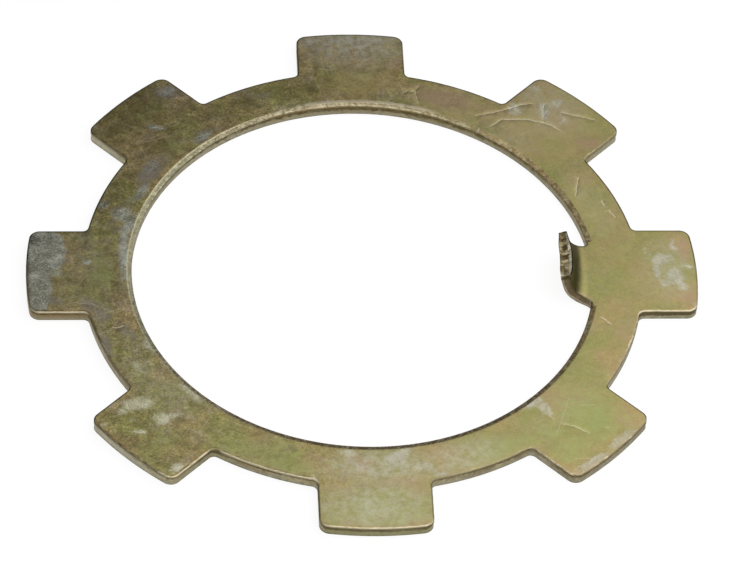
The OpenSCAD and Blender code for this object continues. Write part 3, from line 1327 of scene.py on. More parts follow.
    def fold_dark(self, plan: np.ndarray) -> np.ndarray:
        """How far each place lies in the shade of the fold.

        Args:
            plan: Places seen from above.

        Returns:
            From 0 on the ring to 1 on the leaf.
        """
        run = self.blank.bend_start_r - plan[:, 0] + 0.18 * plan[:, 1]
        shade = ease(run, 0.75, 2.4) * (1.0 - 0.3 * ease(plan[:, 1], 0.0, 4.0))
        shade = np.maximum(shade, 0.1 * ease(run, -0.8, 0.9))
        on_tab = (plan[:, 0] > 0) & (np.linalg.norm(plan, axis=1) < self.blank.bore_r + 0.4)
        return np.where(on_tab & (np.abs(plan[:, 1]) < self.key_side), shade, 0.0)

    def edge_away(self, plan: np.ndarray) -> np.ndarray:
        """How far the cut edge nearest to each place faces +Y or sideways.

        Args:
            plan: Places seen from above.

        Returns:
            From 0 to 1 for each place.
        """
        rings = [self.outer.outline(), self.bore.stations()[0]]
        outward = -np.vstack([inward(ring, closed=True) for ring in rings])
        marks = np.vstack(rings)
        found = []
        for part in np.array_split(plan, max(1, len(plan) // SLICE)):
            gap = ((part[:, None, :] - marks[None]) ** 2).sum(axis=2)
            found.append(outward[gap.argmin(axis=1), 1])
        return ease(np.concatenate(found), -0.35, 0.15)

    def build(self, finishes: Sequence[bpy.types.Material]) -> bpy.types.Object:
        """Makes the finished piece.

        Args:
            finishes: Materials in the order of Finish.

        Returns:
            The washer's object, at the origin and in metres.
        """
        self.assemble(finishes[Finish.FACE.value])
        self.bm.normal_update()
        flat = np.array([v.co for v in self.bm.verts])
        normal = np.array([v.normal for v in self.bm.verts])
        values = self.marks(flat)
        moved = Relief(self.blank).apply(flat, normal, values)
        for vert, place in zip(self.bm.verts, Bend(self.blank).apply(moved) * METRES):
            vert.co = place
        mesh = bpy.data.meshes.new("lock_washer_dressed")
        self.bm.to_mesh(mesh)
        self.bm.free()
        for name, value in values.items():
            attribute = mesh.attributes.new(name, "FLOAT", "POINT")
            attribute.data.foreach_set("value", np.asarray(value, dtype=np.float32))
        mesh.polygons.foreach_set("use_smooth", np.ones(len(mesh.polygons), dtype=bool))
        for material in finishes:
            mesh.materials.append(material)
        mesh.update()
        obj = bpy.data.objects.new("lock_washer_dressed", mesh)
        bpy.context.scene.collection.objects.link(obj)
        return obj


@dataclass
class Sketch:
    """Short names for adding and joining shader nodes in one tree.

    Args:
        tree: The tree.
        place: Coordinates in millimetres that the noise is laid over.
    """

    tree: bpy.types.NodeTree
    place: Socket | None = None

    def node(self, kind: str, **settings: object) -> bpy.types.Node:
        """Adds a node.

        Args:
            kind: Its type.
            settings: Its properties, by name.

        Returns:
            The node.
        """
        made = self.tree.nodes.new(kind)
        for name, value in settings.items():
            setattr(made, name, value)
        return made

    def feed(self, socket: Socket, value: object) -> None:
        """Links a socket or sets its constant.

        Args:
            socket: The socket that is fed.
            value: Another socket, a number or a colour.
        """
        if isinstance(value, Socket):
            self.tree.links.new(value, socket)
        elif isinstance(value, tuple) and socket.type == "RGBA":
            socket.default_value = (*value, 1.0)
        else:
            socket.default_value = value

    def maths(self, operation: str, a: object, b: object = 0.0, c: object = 0.0) -> Socket:
        """Adds a Math node.

        Args:
            operation: What it does; a leading star has the result clamped.
            a: Its first value.
            b: Its second value.
            c: Its third value.

        Returns:
            The result.
        """
        name = operation.lstrip("*")
        made = self.node("ShaderNodeMath", operation=name, use_clamp=name != operation)
        for socket, value in zip(made.inputs, (a, b, c)):
            self.feed(socket, value)
        return made.outputs[0]

    def times(self, product: object, *others: object) -> Socket:
        """Multiplies values.

        Args:
            product: First value.
            others: The other values.

        Returns:
            Product of them all.
        """
        for other in others:
            product = self.maths("MULTIPLY", product, other)
        return product

    def less(self, value: object) -> Socket:
        """What the value leaves of 1."""
        return self.maths("SUBTRACT", 1.0, value)

    def rise(self, value: object, gain: object, base: object) -> Socket:
        """A base, raised by the value times a gain."""
        return self.maths("MULTIPLY_ADD", value, gain, base)

    def wander(self, value: object, noise_value: object, swing: float) -> Socket:
        """The value, swung up and down by noise."""
        return self.rise(self.maths("SUBTRACT", noise_value, 0.5), swing, value)

    def mix(self, factor: object, a: object, b: object) -> Socket:
        """Adds a colour mix.

        Args:
            factor: Share of the second colour.
            a: First colour.
            b: Second colour.

        Returns:
            The colour between them.
        """
        made = self.node("ShaderNodeMix", data_type="RGBA")
        # The node's sockets for colours come after those for numbers and vectors
        for index, value in ((0, factor), (6, a), (7, b)):
            self.feed(made.inputs[index], value)
        return made.outputs[2]

    def over(self, colour: object, tone: object, *shares: object) -> Socket:
        """A tone laid over a colour, as far as the product of the shares says."""
        return self.mix(self.times(*shares), colour, tone)

    def scaled(self, colour: object, gain: object) -> Socket:
        """Makes a colour lighter or darker.

        Args:
            colour: The colour.
            gain: What it is multiplied by.

        Returns:
            The new colour.
        """
        made = self.node("ShaderNodeVectorMath", operation="SCALE")
        self.feed(made.inputs[0], colour)
        self.feed(made.inputs["Scale"], gain)
        return made.outputs[0]

    def step(self, value: object, low: object, high: object) -> Socket:
        """Adds a smooth step.

        Args:
            value: Value that is looked at.
            low: Where the result is 0.
            high: Where the result is 1.

        Returns:
            The result.
        """
        made = self.node("ShaderNodeMapRange", interpolation_type="SMOOTHSTEP")
        for name, fed in (("Value", value), ("From Min", low), ("From Max", high)):
            self.feed(made.inputs[name], fed)
        return made.outputs[0]

    def noise(self, scale: object, detail: float, rough: float) -> Socket:
        """Adds noise over the sketch's coordinates.

        Args:
            scale: Waves per millimetre.
            detail: Number of finer layers.
            rough: Strength of each finer layer.

        Returns:
            Values between 0 and 1, centred on a half.
        """
        made = self.node("ShaderNodeTexNoise")
        for name, fed in (("Vector", self.place), ("Scale", scale), ("Detail", detail), ("Roughness", rough)):
            self.feed(made.inputs[name], fed)
        return made.outputs[0]

    def spots(self, scale: float, detail: float, rough: float, low: float, high: float) -> Socket:
        """Noise stepped from low to high, so that it stands in spots."""
        return self.step(self.noise(scale, detail, rough), low, high)

    def read(self, name: str) -> Socket:
        """Value of one of the mesh's attributes."""
        return self.node("ShaderNodeAttribute", attribute_name=name).outputs["Fac"]

    def group(self, tree: bpy.types.NodeTree, **inputs: object) -> bpy.types.Node:
        """Places a node group over the sketch's coordinates.

        Args:
            tree: The group.
            inputs: What its other inputs are fed, by name.

        Returns:
            The group's node.
        """
        made = self.node("ShaderNodeGroup", node_tree=tree)
        for name, value in (("Place", self.place), *inputs.items()):
            self.feed(made.inputs[name], value)
        return made


GroupParts = tuple[Sketch, bpy.types.NodeOutputs, bpy.types.NodeInputs]


def new_group(name: str, inputs: dict[str, float | Colour], outputs: Sequence[str]) -> GroupParts:
    """Starts a shader node group whose first input is the place.

    Args:
        name: Name of the group.
        inputs: Default of each further input, by name; a tuple makes a colour input.
        outputs: Names of the outputs; one named Color is a colour.

    Returns:
        A sketch on the group, what the group is given and what it puts out.
    """
    tree = bpy.data.node_groups.new(name, "ShaderNodeTree")
    tree.interface.new_socket("Place", in_out="INPUT", socket_type="NodeSocketVector")
    for label, default in inputs.items():
        colour = isinstance(default, tuple)
        kind = "NodeSocketColor" if colour else "NodeSocketFloat"
        socket = tree.interface.new_socket(label, in_out="INPUT", socket_type=kind)
        socket.default_value = (*default, 1.0) if colour else default
    for label in outputs:
        kind = "NodeSocketColor" if label == "Color" else "NodeSocketFloat"
        tree.interface.new_socket(label, in_out="OUTPUT", socket_type=kind)
    given = tree.nodes.new("NodeGroupInput").outputs
    return Sketch(tree, given["Place"]), given, tree.nodes.new("NodeGroupOutput").inputs


class Effects:
    """Shader node groups that the finishes share."""

    def __init__(self) -> None:
        """Builds each group once."""
        self.mottle = self.make_mottle()
        self.hairlines = self.make_hairlines()
        self.ragged = self.make_ragged()

    def make_mottle(self) -> bpy.types.NodeTree:
        """Clouded passivation colour: two tones, a third in spots, and fine grain in the value.

        Returns:
            The group, with outputs Color and Height.
        """
        s, given, out = new_group(
            "passivation_mottle",
            {
                "Olive": (0.3, 0.28, 0.12),
                "Gold": (0.36, 0.28, 0.13),
                "Rose": (0.42, 0.32, 0.22),
                "Grain": 0.3,
                "Spots": 0.75,
            },
            ("Color", "Height"),
        )
        colour = s.mix(s.spots(0.16, 3.0, 0.55, 0.36, 0.64), given["Olive"], given["Gold"])
        colour = s.over(colour, given["Rose"], s.spots(0.42, 5.0, 0.68, 0.47, 0.68), given["Spots"])
        fine = s.times(s.noise(3.6, 2.0, 0.75), 0.55)
        height = s.rise(s.noise(0.8, 5.0, 0.7), 0.45, fine)
        gain = s.maths("EXPONENT", s.times(s.maths("SUBTRACT", height, 0.5), given["Grain"]))
        s.feed(out["Color"], s.scaled(colour, gain))
        s.feed(out["Height"], height)
        return s.tree

    def make_hairlines(self) -> bpy.types.NodeTree:
        """Mask of short fine lines that run one way.

        Returns:
            The group, with the output Mask.
        """
        s, given, out = new_group("hairlines", {"Turn": 0.0, "Share": 0.7}, ("Mask",))
        turned = s.node("ShaderNodeVectorRotate", rotation_type="Z_AXIS")
        s.feed(turned.inputs["Vector"], s.place)
        s.feed(turned.inputs["Angle"], given["Turn"])
        squeezed = s.node("ShaderNodeVectorMath", operation="MULTIPLY")
        s.feed(squeezed.inputs[0], turned.outputs[0])
        s.feed(squeezed.inputs[1], (0.16, 4.5, 1.0))
        s.place = squeezed.outputs[0]
        share = given["Share"]
        s.feed(out["Mask"], s.step(s.noise(1.0, 2.0, 0.5), share, s.maths("ADD", share, 0.06)))
        return s.tree

    def make_ragged(self) -> bpy.types.NodeTree:
        """Soft field given a ragged, broken border.

        Returns:
            The group, with the output Mask.
        """
        s, given, out = new_group(
            "ragged_border", {"Field": 0.0, "Scale": 1.2, "Softness": 0.12}, ("Mask",)
        )
        soft = given["Softness"]
        lifted = s.wander(given["Field"], s.noise(given["Scale"], 8.0, 0.74), 2.2)
        mask = s.step(lifted, s.maths("SUBTRACT", 0.55, soft), s.maths("ADD", 0.55, soft))
        s.feed(out["Mask"], s.times(mask, s.step(given["Field"], 0.02, 0.2)))
        return s.tree


def empty_material(name: str) -> tuple[bpy.types.Material, Sketch]:
    """Starts a material.

    Args:
        name: Its name.

    Returns:
        The material with no nodes in it, and a sketch on its tree.
    """
    material = bpy.data.materials.new(name)
    material.use_nodes = True
    material.node_tree.nodes.clear()
    return material, Sketch(material.node_tree)


@dataclass
class Metal:
    """A metallic material with a Principled shader, over Object coordinates in millimetres.

    Args:
        name: Its name.
    """

    name: str

    def __post_init__(self) -> None:
        """Makes the material, its shader and its coordinates."""
        self.material, self.s = empty_material(self.name)
        s = self.s
        self.shader = s.node("ShaderNodeBsdfPrincipled")
        self.shader.inputs["Metallic"].default_value = 1.0
        s.feed(s.node("ShaderNodeOutputMaterial").inputs["Surface"], self.shader.outputs[0])
        scaled = s.node("ShaderNodeMapping")
        s.feed(scaled.inputs["Scale"], (1 / METRES,) * 3)
        s.feed(scaled.inputs["Vector"], s.node("ShaderNodeTexCoord").outputs["Object"])
        s.place = scaled.outputs[0]

    def dress(self, colour: object, rough: object, height: object, depth: float) -> bpy.types.Material:
        """Feeds the shader.

        Args:
            colour: Its colour.
            rough: Its roughness.
            height: Height of the fine relief, from 0 to 1.
            depth: Depth of that relief in millimetres.

        Returns:
            The finished material.
        """
        bump = self.s.node("ShaderNodeBump")
        for socket, value in (
            (bump.inputs["Strength"], 1.0),
            (bump.inputs["Distance"], depth * METRES),
            (bump.inputs["Height"], height),
            (self.shader.inputs["Normal"], bump.outputs[0]),
            (self.shader.inputs["Base Color"], colour),
            (self.shader.inputs["Roughness"], rough),
        ):
            self.s.feed(socket, value)
        return self.material


@dataclass(frozen=True)
class Plating:
    """Yellow passivated zinc on the washer's two faces."""

    olive: Colour = (0.30, 0.285, 0.105)
    gold: Colour = (0.37, 0.285, 0.13)
    rose: Colour = (0.37, 0.305, 0.195)
    pale_rub: Colour = (0.405, 0.39, 0.315)
    pale_line: Colour = (0.50, 0.475, 0.38)
    cream_rub: Colour = (0.58, 0.58, 0.40)
    cream_line: Colour = (0.74, 0.72, 0.53)
    grey_rub: Colour = (0.30, 0.325, 0.265)
    grey_line: Colour = (0.60, 0.61, 0.53)
    grey_spark: Colour = (0.80, 0.80, 0.71)
    lilac: Colour = (0.29, 0.262, 0.235)
    pink: Colour = (0.40, 0.275, 0.17)
    honey: Colour = (0.43, 0.355, 0.15)
    green: Colour = (0.31, 0.34, 0.125)
    dark: Colour = (0.13, 0.105, 0.04)
    slate: Colour = (0.075, 0.085, 0.078)
    edge_line_shade: Colour = (0.24, 0.21, 0.12)
    haze: Colour = (0.52, 0.495, 0.395)
    # Tone of the painted highlights and glints, and of the hairlines
    bright: Colour = (0.60, 0.53, 0.37)
    scored: Colour = (0.70, 0.655, 0.48)
    far_edge_shade: Colour = (0.05, 0.045, 0.022)
    roughness: float = 0.42

    def stained(self, s: Sketch, effects: Effects) -> tuple[Socket, Socket]:
        """Clouded plating with its tints, stains, pits and haze; the dark spots, thicker towards the back
        left, are partly painted shade.

        Args:
            s: Sketch on the material.
            effects: Shared node groups.

        Returns:
            The colour, and the height of the fine relief.
        """
        weather_and_shade = s.read("weather_and_shade")
        mottle = s.group(
            effects.mottle,
            Olive=self.olive,
            Gold=self.gold,
            Rose=self.rose,
            Grain=s.rise(weather_and_shade, 3.4, 1.0),
            Spots=s.rise(weather_and_shade, 0.6, 0.25),
        )
        colour = mottle.outputs["Color"]
        cool_tint = s.mix(s.step(s.read("leftness"), 0.48, 0.66), self.pink, self.lilac)
        for name, tone, scale, soft, most in (
            ("stain_dark", self.dark, 0.6, 0.5, 0.7),
            ("tint_gold", self.honey, 0.5, 0.6, 0.8),
            ("tint_green", self.green, 0.8, 0.5, 0.7),
            ("tint_lilac", cool_tint, 1.0, 0.4, 0.75),
        ):
            patch = s.group(effects.ragged, Field=s.read(name), Scale=scale, Softness=soft)
            colour = s.over(colour, tone, patch.outputs[0], most)
        # Dark spots growing towards the back left: partly tarnish, partly painted shade
        colour = s.over(colour, self.dark, s.spots(0.45, 6.0, 0.72, 0.52, 0.66), weather_and_shade, 0.55)
        colour = s.over(colour, self.dark, s.spots(2.0, 5.0, 0.78, 0.53, 0.68), weather_and_shade, 0.85)
        glints = s.spots(2.7, 5.0, 0.8, 0.55, 0.7)
        colour = s.over(colour, self.bright, glints, s.rise(weather_and_shade, 0.45, 0.12))
        colour = s.over(colour, self.haze, s.read("haze"), s.spots(1.1, 6.0, 0.8, 0.3, 0.7))
        return colour, mottle.outputs["Height"]

    def hatched(self, s: Sketch, effects: Effects) -> Socket:
        """Fine lines that run four ways.

        Args:
            s: Sketch on the material.
            effects: Shared node groups.

        Returns:
            Their mask.
        """
        hair: object = 0.0
        for turn, share in ((0.5, 0.62), (2.1, 0.63), (-0.35, 0.62), (1.3, 0.64)):
            lines = s.group(effects.hairlines, Turn=turn, Share=share)
            hair = s.maths("MAXIMUM", hair, lines.outputs[0])
        return hair

    def rubbed(self, s: Sketch, effects: Effects, colour: object, hair: object) -> Socket:
        """Lays on the rubs: grey at the back left, cream at the front left, pale elsewhere.

        Args:
            s: Sketch on the material.
            effects: Shared node groups.
            colour: Colour of the plating.
            hair: Mask of the fine lines.

        Returns:
            The colour with the rubs.
        """
        weather_and_shade = s.read("weather_and_shade")
        cool = s.times(weather_and_shade, s.step(s.read("topness"), 0.3, 0.42))
        soiled = s.maths("*MULTIPLY", s.read("stain_dark"), cool)
        rub = s.group(effects.ragged, Field=s.read("rubbed_grey"), Scale=1.7, Softness=0.35).outputs[0]
        strands = s.rise(hair, 0.2, s.noise(4.2, 4.0, 0.85))
        fuzz = s.step(s.wander(strands, s.noise(0.4, 3.0, 0.6), 0.8), 0.42, 0.66)
        fuzz = s.times(fuzz, s.rise(soiled, -0.7, 1.0))
        ground = s.mix(cool, s.mix(weather_and_shade, self.pale_rub, self.cream_rub), self.grey_rub)
        ground = s.mix(soiled, ground, self.slate)
        ground = s.over(ground, self.slate, s.spots(4.6, 2.0, 0.7, 0.5, 0.6), cool, 0.65)
        lines = s.mix(cool, s.mix(weather_and_shade, self.pale_line, self.cream_line), self.grey_line)
        worn = s.mix(fuzz, ground, lines)
        worn = s.over(worn, self.grey_spark, s.spots(3.8, 3.0, 0.75, 0.53, 0.63), cool, 0.6)
        cover = s.rise(fuzz, s.rise(cool, -0.18, 0.35), s.rise(cool, 0.14, 0.64))
        flecks = s.rise(s.spots(3.4, 3.0, 0.8, 0.3, 0.48), 0.4, 0.6)
        colour = s.over(colour, worn, rub, cover, flecks)
        return s.over(colour, self.pale_line, rub, s.less(rub), fuzz)

    def edged(self, s: Sketch, colour: object) -> Socket:
        """Draws the cut edges: painted shade where they face away, else a bright painted highlight line in a
        dark painted shade border.

        Args:
            s: Sketch on the material.
            colour: Colour of the face.

        Returns:
            The colour with the edges.
        """
        away, from_edge = s.read("edge_away"), s.read("from_edge")
        wiggle = s.wander(from_edge, s.noise(1.4, 4.0, 0.7), 0.5)
        # Painted shade over the cut edges that face away
        colour = s.over(colour, self.far_edge_shade, s.step(from_edge, 0.3, 0.1), away, 0.92)
        colour = s.over(colour, self.pink, s.step(wiggle, 0.75, 0.1), s.less(away), 0.3)
        facing = s.times(s.less(away), s.less(s.read("fold_dark")))
        # Painted shade: a dark border just inside the edges that face the front
        border = s.times(s.step(wiggle, 0.5, 0.3), s.spots(0.9, 4.0, 0.7, 0.42, 0.56))
        colour = s.over(colour, self.dark, border, facing, s.read("weather_and_shade"), 0.75)
        # Painted highlight along the rolled edges that face the front, dulled to a painted shade where unlit
        lit = s.rise(s.read("bright_edge"), 0.35, s.noise(1.1, 5.0, 0.75))
        tone = s.mix(s.step(lit, 0.56, 0.74), self.edge_line_shade, self.bright)
        return s.over(colour, tone, s.step(wiggle, 0.22, 0.1), facing, 0.85)

    def struck(self, s: Sketch, colour: object) -> Socket:
        """Adds the painted highlight along the far side of the chamfer, the scratches and the fold's painted
        shade.

        Args:
            s: Sketch on the material.
            colour: Colour of the face.

        Returns:
            The finished colour.
        """
        left, beyond = s.read("leftness"), s.read("from_bore")
        # Painted highlight along the far lip of the chamfer, broken into stretches
        far_lip_highlight = s.times(
            s.step(beyond, 0.64, 0.78),
            s.step(beyond, 1.3, 1.0),
            s.step(left, 0.36, 0.41),
            s.step(left, 0.64, 0.55),
            s.step(s.read("topness"), 0.6, 0.7),
            s.step(s.read("sheet_height"), 0.6, 0.9),
        )
        breaks = s.rise(s.spots(0.8, 4.0, 0.7, 0.36, 0.56), 0.6, 0.25)
        colour = s.over(colour, self.bright, far_lip_highlight, breaks, 1.7)
        broken = s.spots(2.6, 3.0, 0.6, 0.32, 0.5)
        colour = s.over(colour, self.scored, s.read("scratch"), broken, 1.5)
        return s.scaled(colour, s.rise(s.read("fold_dark"), -0.72, 1.0))

    def build(self, effects: Effects) -> bpy.types.Material:
        """Makes the material of the faces and of the rolled upper edge.

        Args:
            effects: Shared node groups.

        Returns:
            The material.
        """
        metal = Metal("zinc_face")
        s = metal.s
        colour, height = self.stained(s, effects)
        hair = self.hatched(s, effects)
        crowd = s.times(s.spots(0.13, 2.0, 0.5, 0.38, 0.62), s.read("weather_and_shade"))
        colour = s.over(colour, self.bright, hair, s.rise(crowd, 0.3, 0.05))
        colour = self.rubbed(s, effects, colour, hair)
        colour = self.struck(s, self.edged(s, colour))
        rough = s.rise(s.noise(0.7, 4.0, 0.6), 0.2, self.roughness - 0.1)
        return metal.dress(colour, rough, height, 0.012)


@dataclass(frozen=True)
class ShearedWall:
    """Cut walls: a dark burnished land above, a lighter torn zone below."""

    land: Colour = (0.10, 0.078, 0.028)
    torn: Colour = (0.36, 0.315, 0.185)
    hollow: Colour = (0.24, 0.19, 0.10)
    bore: Colour = (0.23, 0.185, 0.09)
    leaf: Colour = (0.105, 0.07, 0.035)
    leaf_foot: Colour = (0.43, 0.375, 0.27)
    pale: Colour = (0.49, 0.455, 0.33)
    golden: Colour = (0.24, 0.165, 0.075)
    foot: Colour = (0.37, 0.35, 0.255)
    olive: Colour = (0.29, 0.27, 0.135)
    roughness: float = 0.5

    def build(self, effects: Effects) -> bpy.types.Material:
        """Makes the material of the walls.

        Args:
            effects: Shared node groups.

        Returns:
            The material.
        """
        metal = Metal("sheared_wall")
        s = metal.s
        height, pale, land_shade = s.read("sheet_height"), s.read("wall_lit"), s.read("wall_shaded")
        on_leaf = s.read("on_leaf")
        in_bore = s.times(s.step(s.read("from_bore"), 0.4, 0.2), s.less(on_leaf))
        wavy = s.wander(height, s.noise(1.3, 5.0, 0.72), 0.55)
        mottle = s.group(
            effects.mottle, Olive=self.torn, Gold=self.hollow, Rose=self.pale, Grain=3.4, Spots=0.3
        )
        colour = s.over(mottle.outputs["Color"], self.bore, in_bore, 0.6)
        # Painted shade: the walls of the bent key tab are darkened
        colour = s.over(colour, self.leaf, on_leaf, 0.75)
        # Painted light: paler stretches of the walls
        colour = s.over(colour, self.pale, pale, 0.8)
        colour = s.over(colour, self.golden, s.step(s.read("leftness"), 0.9, 0.93), 0.75)
        colour = s.over(colour, self.foot, s.step(height, 0.6, 0.05), s.rise(on_leaf, -0.6, 0.6))
        colour = s.over(colour, self.leaf_foot, s.step(wavy, 0.34, 0.16), on_leaf, 0.8)
        colour = s.over(colour, self.olive, s.read("wall_olive"), 0.75)
        run = s.rise(s.spots(0.22, 3.0, 0.6, 0.4, 0.6), 0.35, 0.6)
        amount = s.times(run, s.rise(in_bore, -0.55, 1.0), s.rise(pale, -0.55, 1.0))
        # Painted shade: the dark land reaches further down the walls of these stretches
        amount = s.maths("MAXIMUM", amount, land_shade)
        colour = s.over(colour, self.land, s.step(s.rise(land_shade, 0.38, wavy), 0.64, 0.78), amount)
        pits = s.spots(1.7, 5.0, 0.75, 0.54, 0.64)
        colour = s.over(colour, self.land, pits, s.rise(in_bore, 0.3, 0.3))
        far_side = s.times(s.step(s.read("topness"), 0.62, 0.74), in_bore)
        uneven = s.step(s.wander(height, s.noise(1.3, 3.0, 0.6), 0.9), 0.38, 0.58)
        blotch = s.rise(s.spots(0.9, 4.0, 0.7, 0.42, 0.56), 0.55, 0.4)
        colour = s.over(colour, self.land, uneven, blotch, far_side)
        # Painted shadow under the key tab's torn end, in the land's dark tone
        colour = s.over(colour, self.land, s.read("shadow_under_end"), 0.8)
        rough = s.rise(s.noise(2.0, 3.0, 0.6), 0.25, self.roughness - 0.1)
        return metal.dress(colour, rough, mottle.outputs["Height"], 0.03)


@dataclass(frozen=True)
class CoinedChamfer:
    """Chamfer round the bore, coined and speckled."""

    brown: Colour = (0.34, 0.255, 0.12)
    amber: Colour = (0.25, 0.205, 0.105)
    near_side_shade: Colour = (0.22, 0.165, 0.085)
    beige: Colour = (0.245, 0.20, 0.118)
    tan: Colour = (0.165, 0.138, 0.08)
    grey_green: Colour = (0.235, 0.23, 0.15)
    speck: Colour = (0.60, 0.55, 0.38)
    pit_and_shadow: Colour = (0.13, 0.095, 0.04)
    roughness: float = 0.42

    def build(self, effects: Effects) -> bpy.types.Material:
        """Makes the material of the chamfer.

        Args:
            effects: Shared node groups.

        Returns:
            The material.
        """
        metal = Metal("coined_chamfer")
        s = metal.s
        left, top, from_bore = s.read("leftness"), s.read("topness"), s.read("from_bore")
        tone: object = self.brown
        for low, high, onward in (
            (0.24, 0.34, self.amber),
            (0.34, 0.46, self.beige),
            (0.52, 0.62, self.tan),
            (0.66, 0.8, self.grey_green),
        ):
            tone = s.mix(s.step(left, low, high), tone, onward)
        # Painted shade: the chamfer darkens on the near side of the bore
        tone = s.mix(s.step(top, 0.2, 0.38), self.near_side_shade, tone)
        calm = s.rise(s.step(left, 0.8, 0.86), -0.6, 1.0)
        mottle = s.group(
            effects.mottle, Olive=tone, Gold=tone, Rose=self.speck, Grain=3.6, Spots=s.times(calm, 0.35)
        )
        colour = mottle.outputs["Color"]
        colour = s.over(colour, self.pit_and_shadow, s.spots(1.8, 5.0, 0.75, 0.5, 0.62), calm, 0.8)
        colour = s.over(colour, self.speck, s.spots(2.4, 3.0, 0.7, 0.5, 0.6), calm, 0.45)
        far = s.times(s.step(left, 0.26, 0.4), s.step(left, 0.7, 0.6), s.step(top, 0.6, 0.7))
        rim = s.times(s.step(from_bore, 0.48, 0.34), s.step(from_bore, 0.18, 0.26), far)
        lip = s.times(s.step(from_bore, 0.48, 0.6), s.step(left, 0.6, 0.7))
        dots = s.spots(1.9, 2.0, 0.6, 0.42, 0.52)
        # Painted highlight: pale specks along the chamfer on its far side
        colour = s.over(colour, self.speck, rim, dots, 0.4)
        colour = s.over(colour, self.speck, lip, s.rise(dots, 0.3, 0.3))
        # Painted shadow: a dark line at the bore's edge on the far side
        shadow = s.step(s.wander(from_bore, s.noise(1.6, 4.0, 0.7), 0.3), 0.26, 0.14)
        colour = s.over(colour, self.pit_and_shadow, shadow, far, 0.85)
        rough = s.rise(s.noise(2.4, 3.0, 0.6), 0.25, self.roughness - 0.1)
        return metal.dress(colour, rough, mottle.outputs["Height"], 0.03)


@dataclass(frozen=True)
class TornEnd:
    """Rough end of the key tab: brown hollows crossed by pale ridges."""

    middle: Colour = (0.30, 0.24, 0.13)
    hollow: Colour = (0.12, 0.085, 0.035)
    ridge: Colour = (0.50, 0.44, 0.29)
    brink: Colour = (0.86, 0.80, 0.62)
    roughness: float = 0.55

    def build(self, effects: Effects) -> bpy.types.Material:
        """Makes the material of the torn end.

        Args:
            effects: Shared node groups.

        Returns:
            The material.
        """
        metal = Metal("torn_end")
        s = metal.s
        mottle = s.group(
            effects.mottle, Olive=self.middle, Gold=self.ridge, Rose=self.hollow, Grain=2.0, Spots=0.75
        )
        bands = s.spots(0.85, 4.0, 0.65, 0.45, 0.54)
        colour = s.over(mottle.outputs["Color"], self.hollow, bands, 0.9)
        # Painted highlight along the burr's brink and the near corner of the torn end
        brink = s.maths("MAXIMUM", s.step(s.read("sheet_height"), 0.7, 0.84), s.read("near_corner"))
        colour = s.over(colour, self.brink, brink, s.spots(1.2, 3.0, 0.6, 0.34, 0.5))
        return metal.dress(colour, self.roughness, mottle.outputs["Height"], 0.04)


@dataclass(frozen=True)
class Camera:
    """Camera of the photograph, in the washer's own frame.

    Args:
        place: Where it stands, in millimetres.
        right: Direction of the picture's right side.
        up: Direction of its upper side.
        focal_px: Focal length in pixels of the photograph.
        near_m: Nearest distance that it sees, in metres.
        far_m: Furthest one.
    """

    place: tuple[float, float, float] = (-41.916, -468.048, 508.086)
    right: tuple[float, float, float] = (0.998136, -0.042688, 0.043625)
    up: tuple[float, float, float] = (0.001862, 0.735711, 0.677294)
    focal_px: float = 5314.72
    near_m: float = 0.02
    far_m: float = 20.0

    def build(self) -> None:
        """Adds the camera and makes it the scene's."""
        data = bpy.data.cameras.new("camera")
        data.sensor_width = SENSOR_MM
        data.sensor_fit = "HORIZONTAL"
        data.lens = SENSOR_MM * self.focal_px / PHOTO_WIDTH
        data.clip_start, data.clip_end = self.near_m, self.far_m
        obj = bpy.data.objects.new("camera", data)
        right, up = Vector(self.right), Vector(self.up)
        turn = Matrix((right, up, right.cross(up))).transposed().to_4x4()
        obj.matrix_world = Matrix.Translation(Vector(self.place) * METRES) @ turn
        bpy.context.scene.collection.objects.link(obj)
        bpy.context.scene.camera = obj


@dataclass(frozen=True)
class Lamp:
    """Square soft light.

    Args:
        name: Its name.
        place: Middle of its face, in metres.
        turn: Turn about X, Y and Z in degrees; unturned it shines down.
        size: Length of a side in metres.
        glow: Brightness of its face.
    """

    name: str
    place: tuple[float, float, float]
    turn: tuple[float, float, float]
    size: float
    glow: float

    def build(self) -> None:
        """Adds the light."""
        data = bpy.data.lights.new(self.name, "AREA")
        data.shape = "SQUARE"
        data.size = self.size
        data.energy = self.glow * math.pi * self.size**2
        obj = bpy.data.objects.new(self.name, data)
        obj.location = self.place
        obj.rotation_euler = [math.radians(angle) for angle in self.turn]
        obj.visible_camera = False
        bpy.context.scene.collection.objects.link(obj)


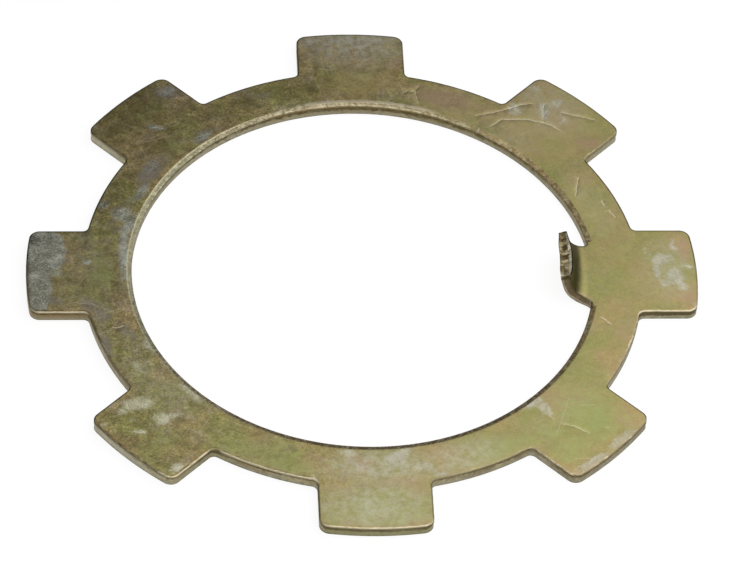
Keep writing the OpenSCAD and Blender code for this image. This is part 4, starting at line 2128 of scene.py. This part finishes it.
@dataclass(frozen=True)
class Studio:
    """Pale floor, even surroundings and a soft light.

    Args:
        floor_half: Half of the floor's length in metres.
        floor_drop: How far the floor lies below the washer's seat, in metres.
        floor_shade: Floor's tone where it lights the washer.
        floor_tone: Its tone where the camera or a reflection sees it.
        floor_glow: Brightness that it has there besides.
        sky: Brightness of the surroundings.
        lamp: The light.
    """

    floor_half: float = 3.0
    floor_drop: float = 0.00002
    floor_shade: float = 0.8
    floor_tone: float = 0.12
    floor_glow: float = 0.9
    sky: float = 0.14
    lamp: Lamp = Lamp("overhead", (0.252, -0.031, 0.22), (0.0, 0.0, 45.0), 0.6, 1.68)

    def surroundings(self) -> None:
        """Adds even white surroundings."""
        world = bpy.data.worlds.new("surroundings")
        bpy.context.scene.world = world
        world.use_nodes = True
        world.node_tree.nodes.clear()
        s = Sketch(world.node_tree)
        back = s.node("ShaderNodeBackground")
        s.feed(back.inputs["Color"], (1.0, 1.0, 1.0))
        s.feed(back.inputs["Strength"], self.sky)
        s.feed(s.node("ShaderNodeOutputWorld").inputs["Surface"], back.outputs[0])

    def floor(self) -> None:
        """Adds the floor, which keeps the washer's shadow."""
        mesh = bpy.data.meshes.new("floor")
        h, z = self.floor_half, -self.floor_drop
        mesh.from_pydata([(-h, -h, z), (h, -h, z), (h, h, z), (-h, h, z)], [], [(0, 1, 2, 3)])
        obj = bpy.data.objects.new("floor", mesh)
        bpy.context.scene.collection.objects.link(obj)
        material, s = empty_material("pale_floor")
        path = s.node("ShaderNodeLightPath").outputs
        seen = s.maths("*ADD", path["Is Camera Ray"], path["Is Glossy Ray"])
        seen = s.maths("*ADD", seen, path["Is Transmission Ray"])
        plain, glow = s.node("ShaderNodeBsdfDiffuse"), s.node("ShaderNodeEmission")
        s.feed(plain.inputs["Color"], s.mix(seen, (self.floor_shade,) * 3, (self.floor_tone,) * 3))
        s.feed(glow.inputs["Color"], (1.0, 1.0, 1.0))
        s.feed(glow.inputs["Strength"], s.times(seen, self.floor_glow))
        both = s.node("ShaderNodeAddShader")
        s.feed(both.inputs[0], plain.outputs[0])
        s.feed(both.inputs[1], glow.outputs[0])
        s.feed(s.node("ShaderNodeOutputMaterial").inputs["Surface"], both.outputs[0])
        mesh.materials.append(material)

    def build(self) -> None:
        """Adds surroundings, floor and light, and has colours shown as they are."""
        self.surroundings()
        self.floor()
        self.lamp.build()
        bpy.context.scene.view_settings.view_transform = "Standard"


def main() -> None:
    """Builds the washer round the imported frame, then the studio."""
    logging.basicConfig(level=logging.INFO, format="%(name)s: %(message)s")
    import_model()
    Camera().build()
    effects = Effects()
    finishes = [made.build(effects) for made in (Plating(), ShearedWall(), CoinedChamfer(), TornEnd())]
    washer = Washer(Blank()).build(finishes)
    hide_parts(NODE)
    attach(washer, BODY)
    LOG.info("%s: %d vertices, %d faces", washer.name, len(washer.data.vertices), len(washer.data.polygons))
    Studio().build()


if __name__ == "__main__":
    main()
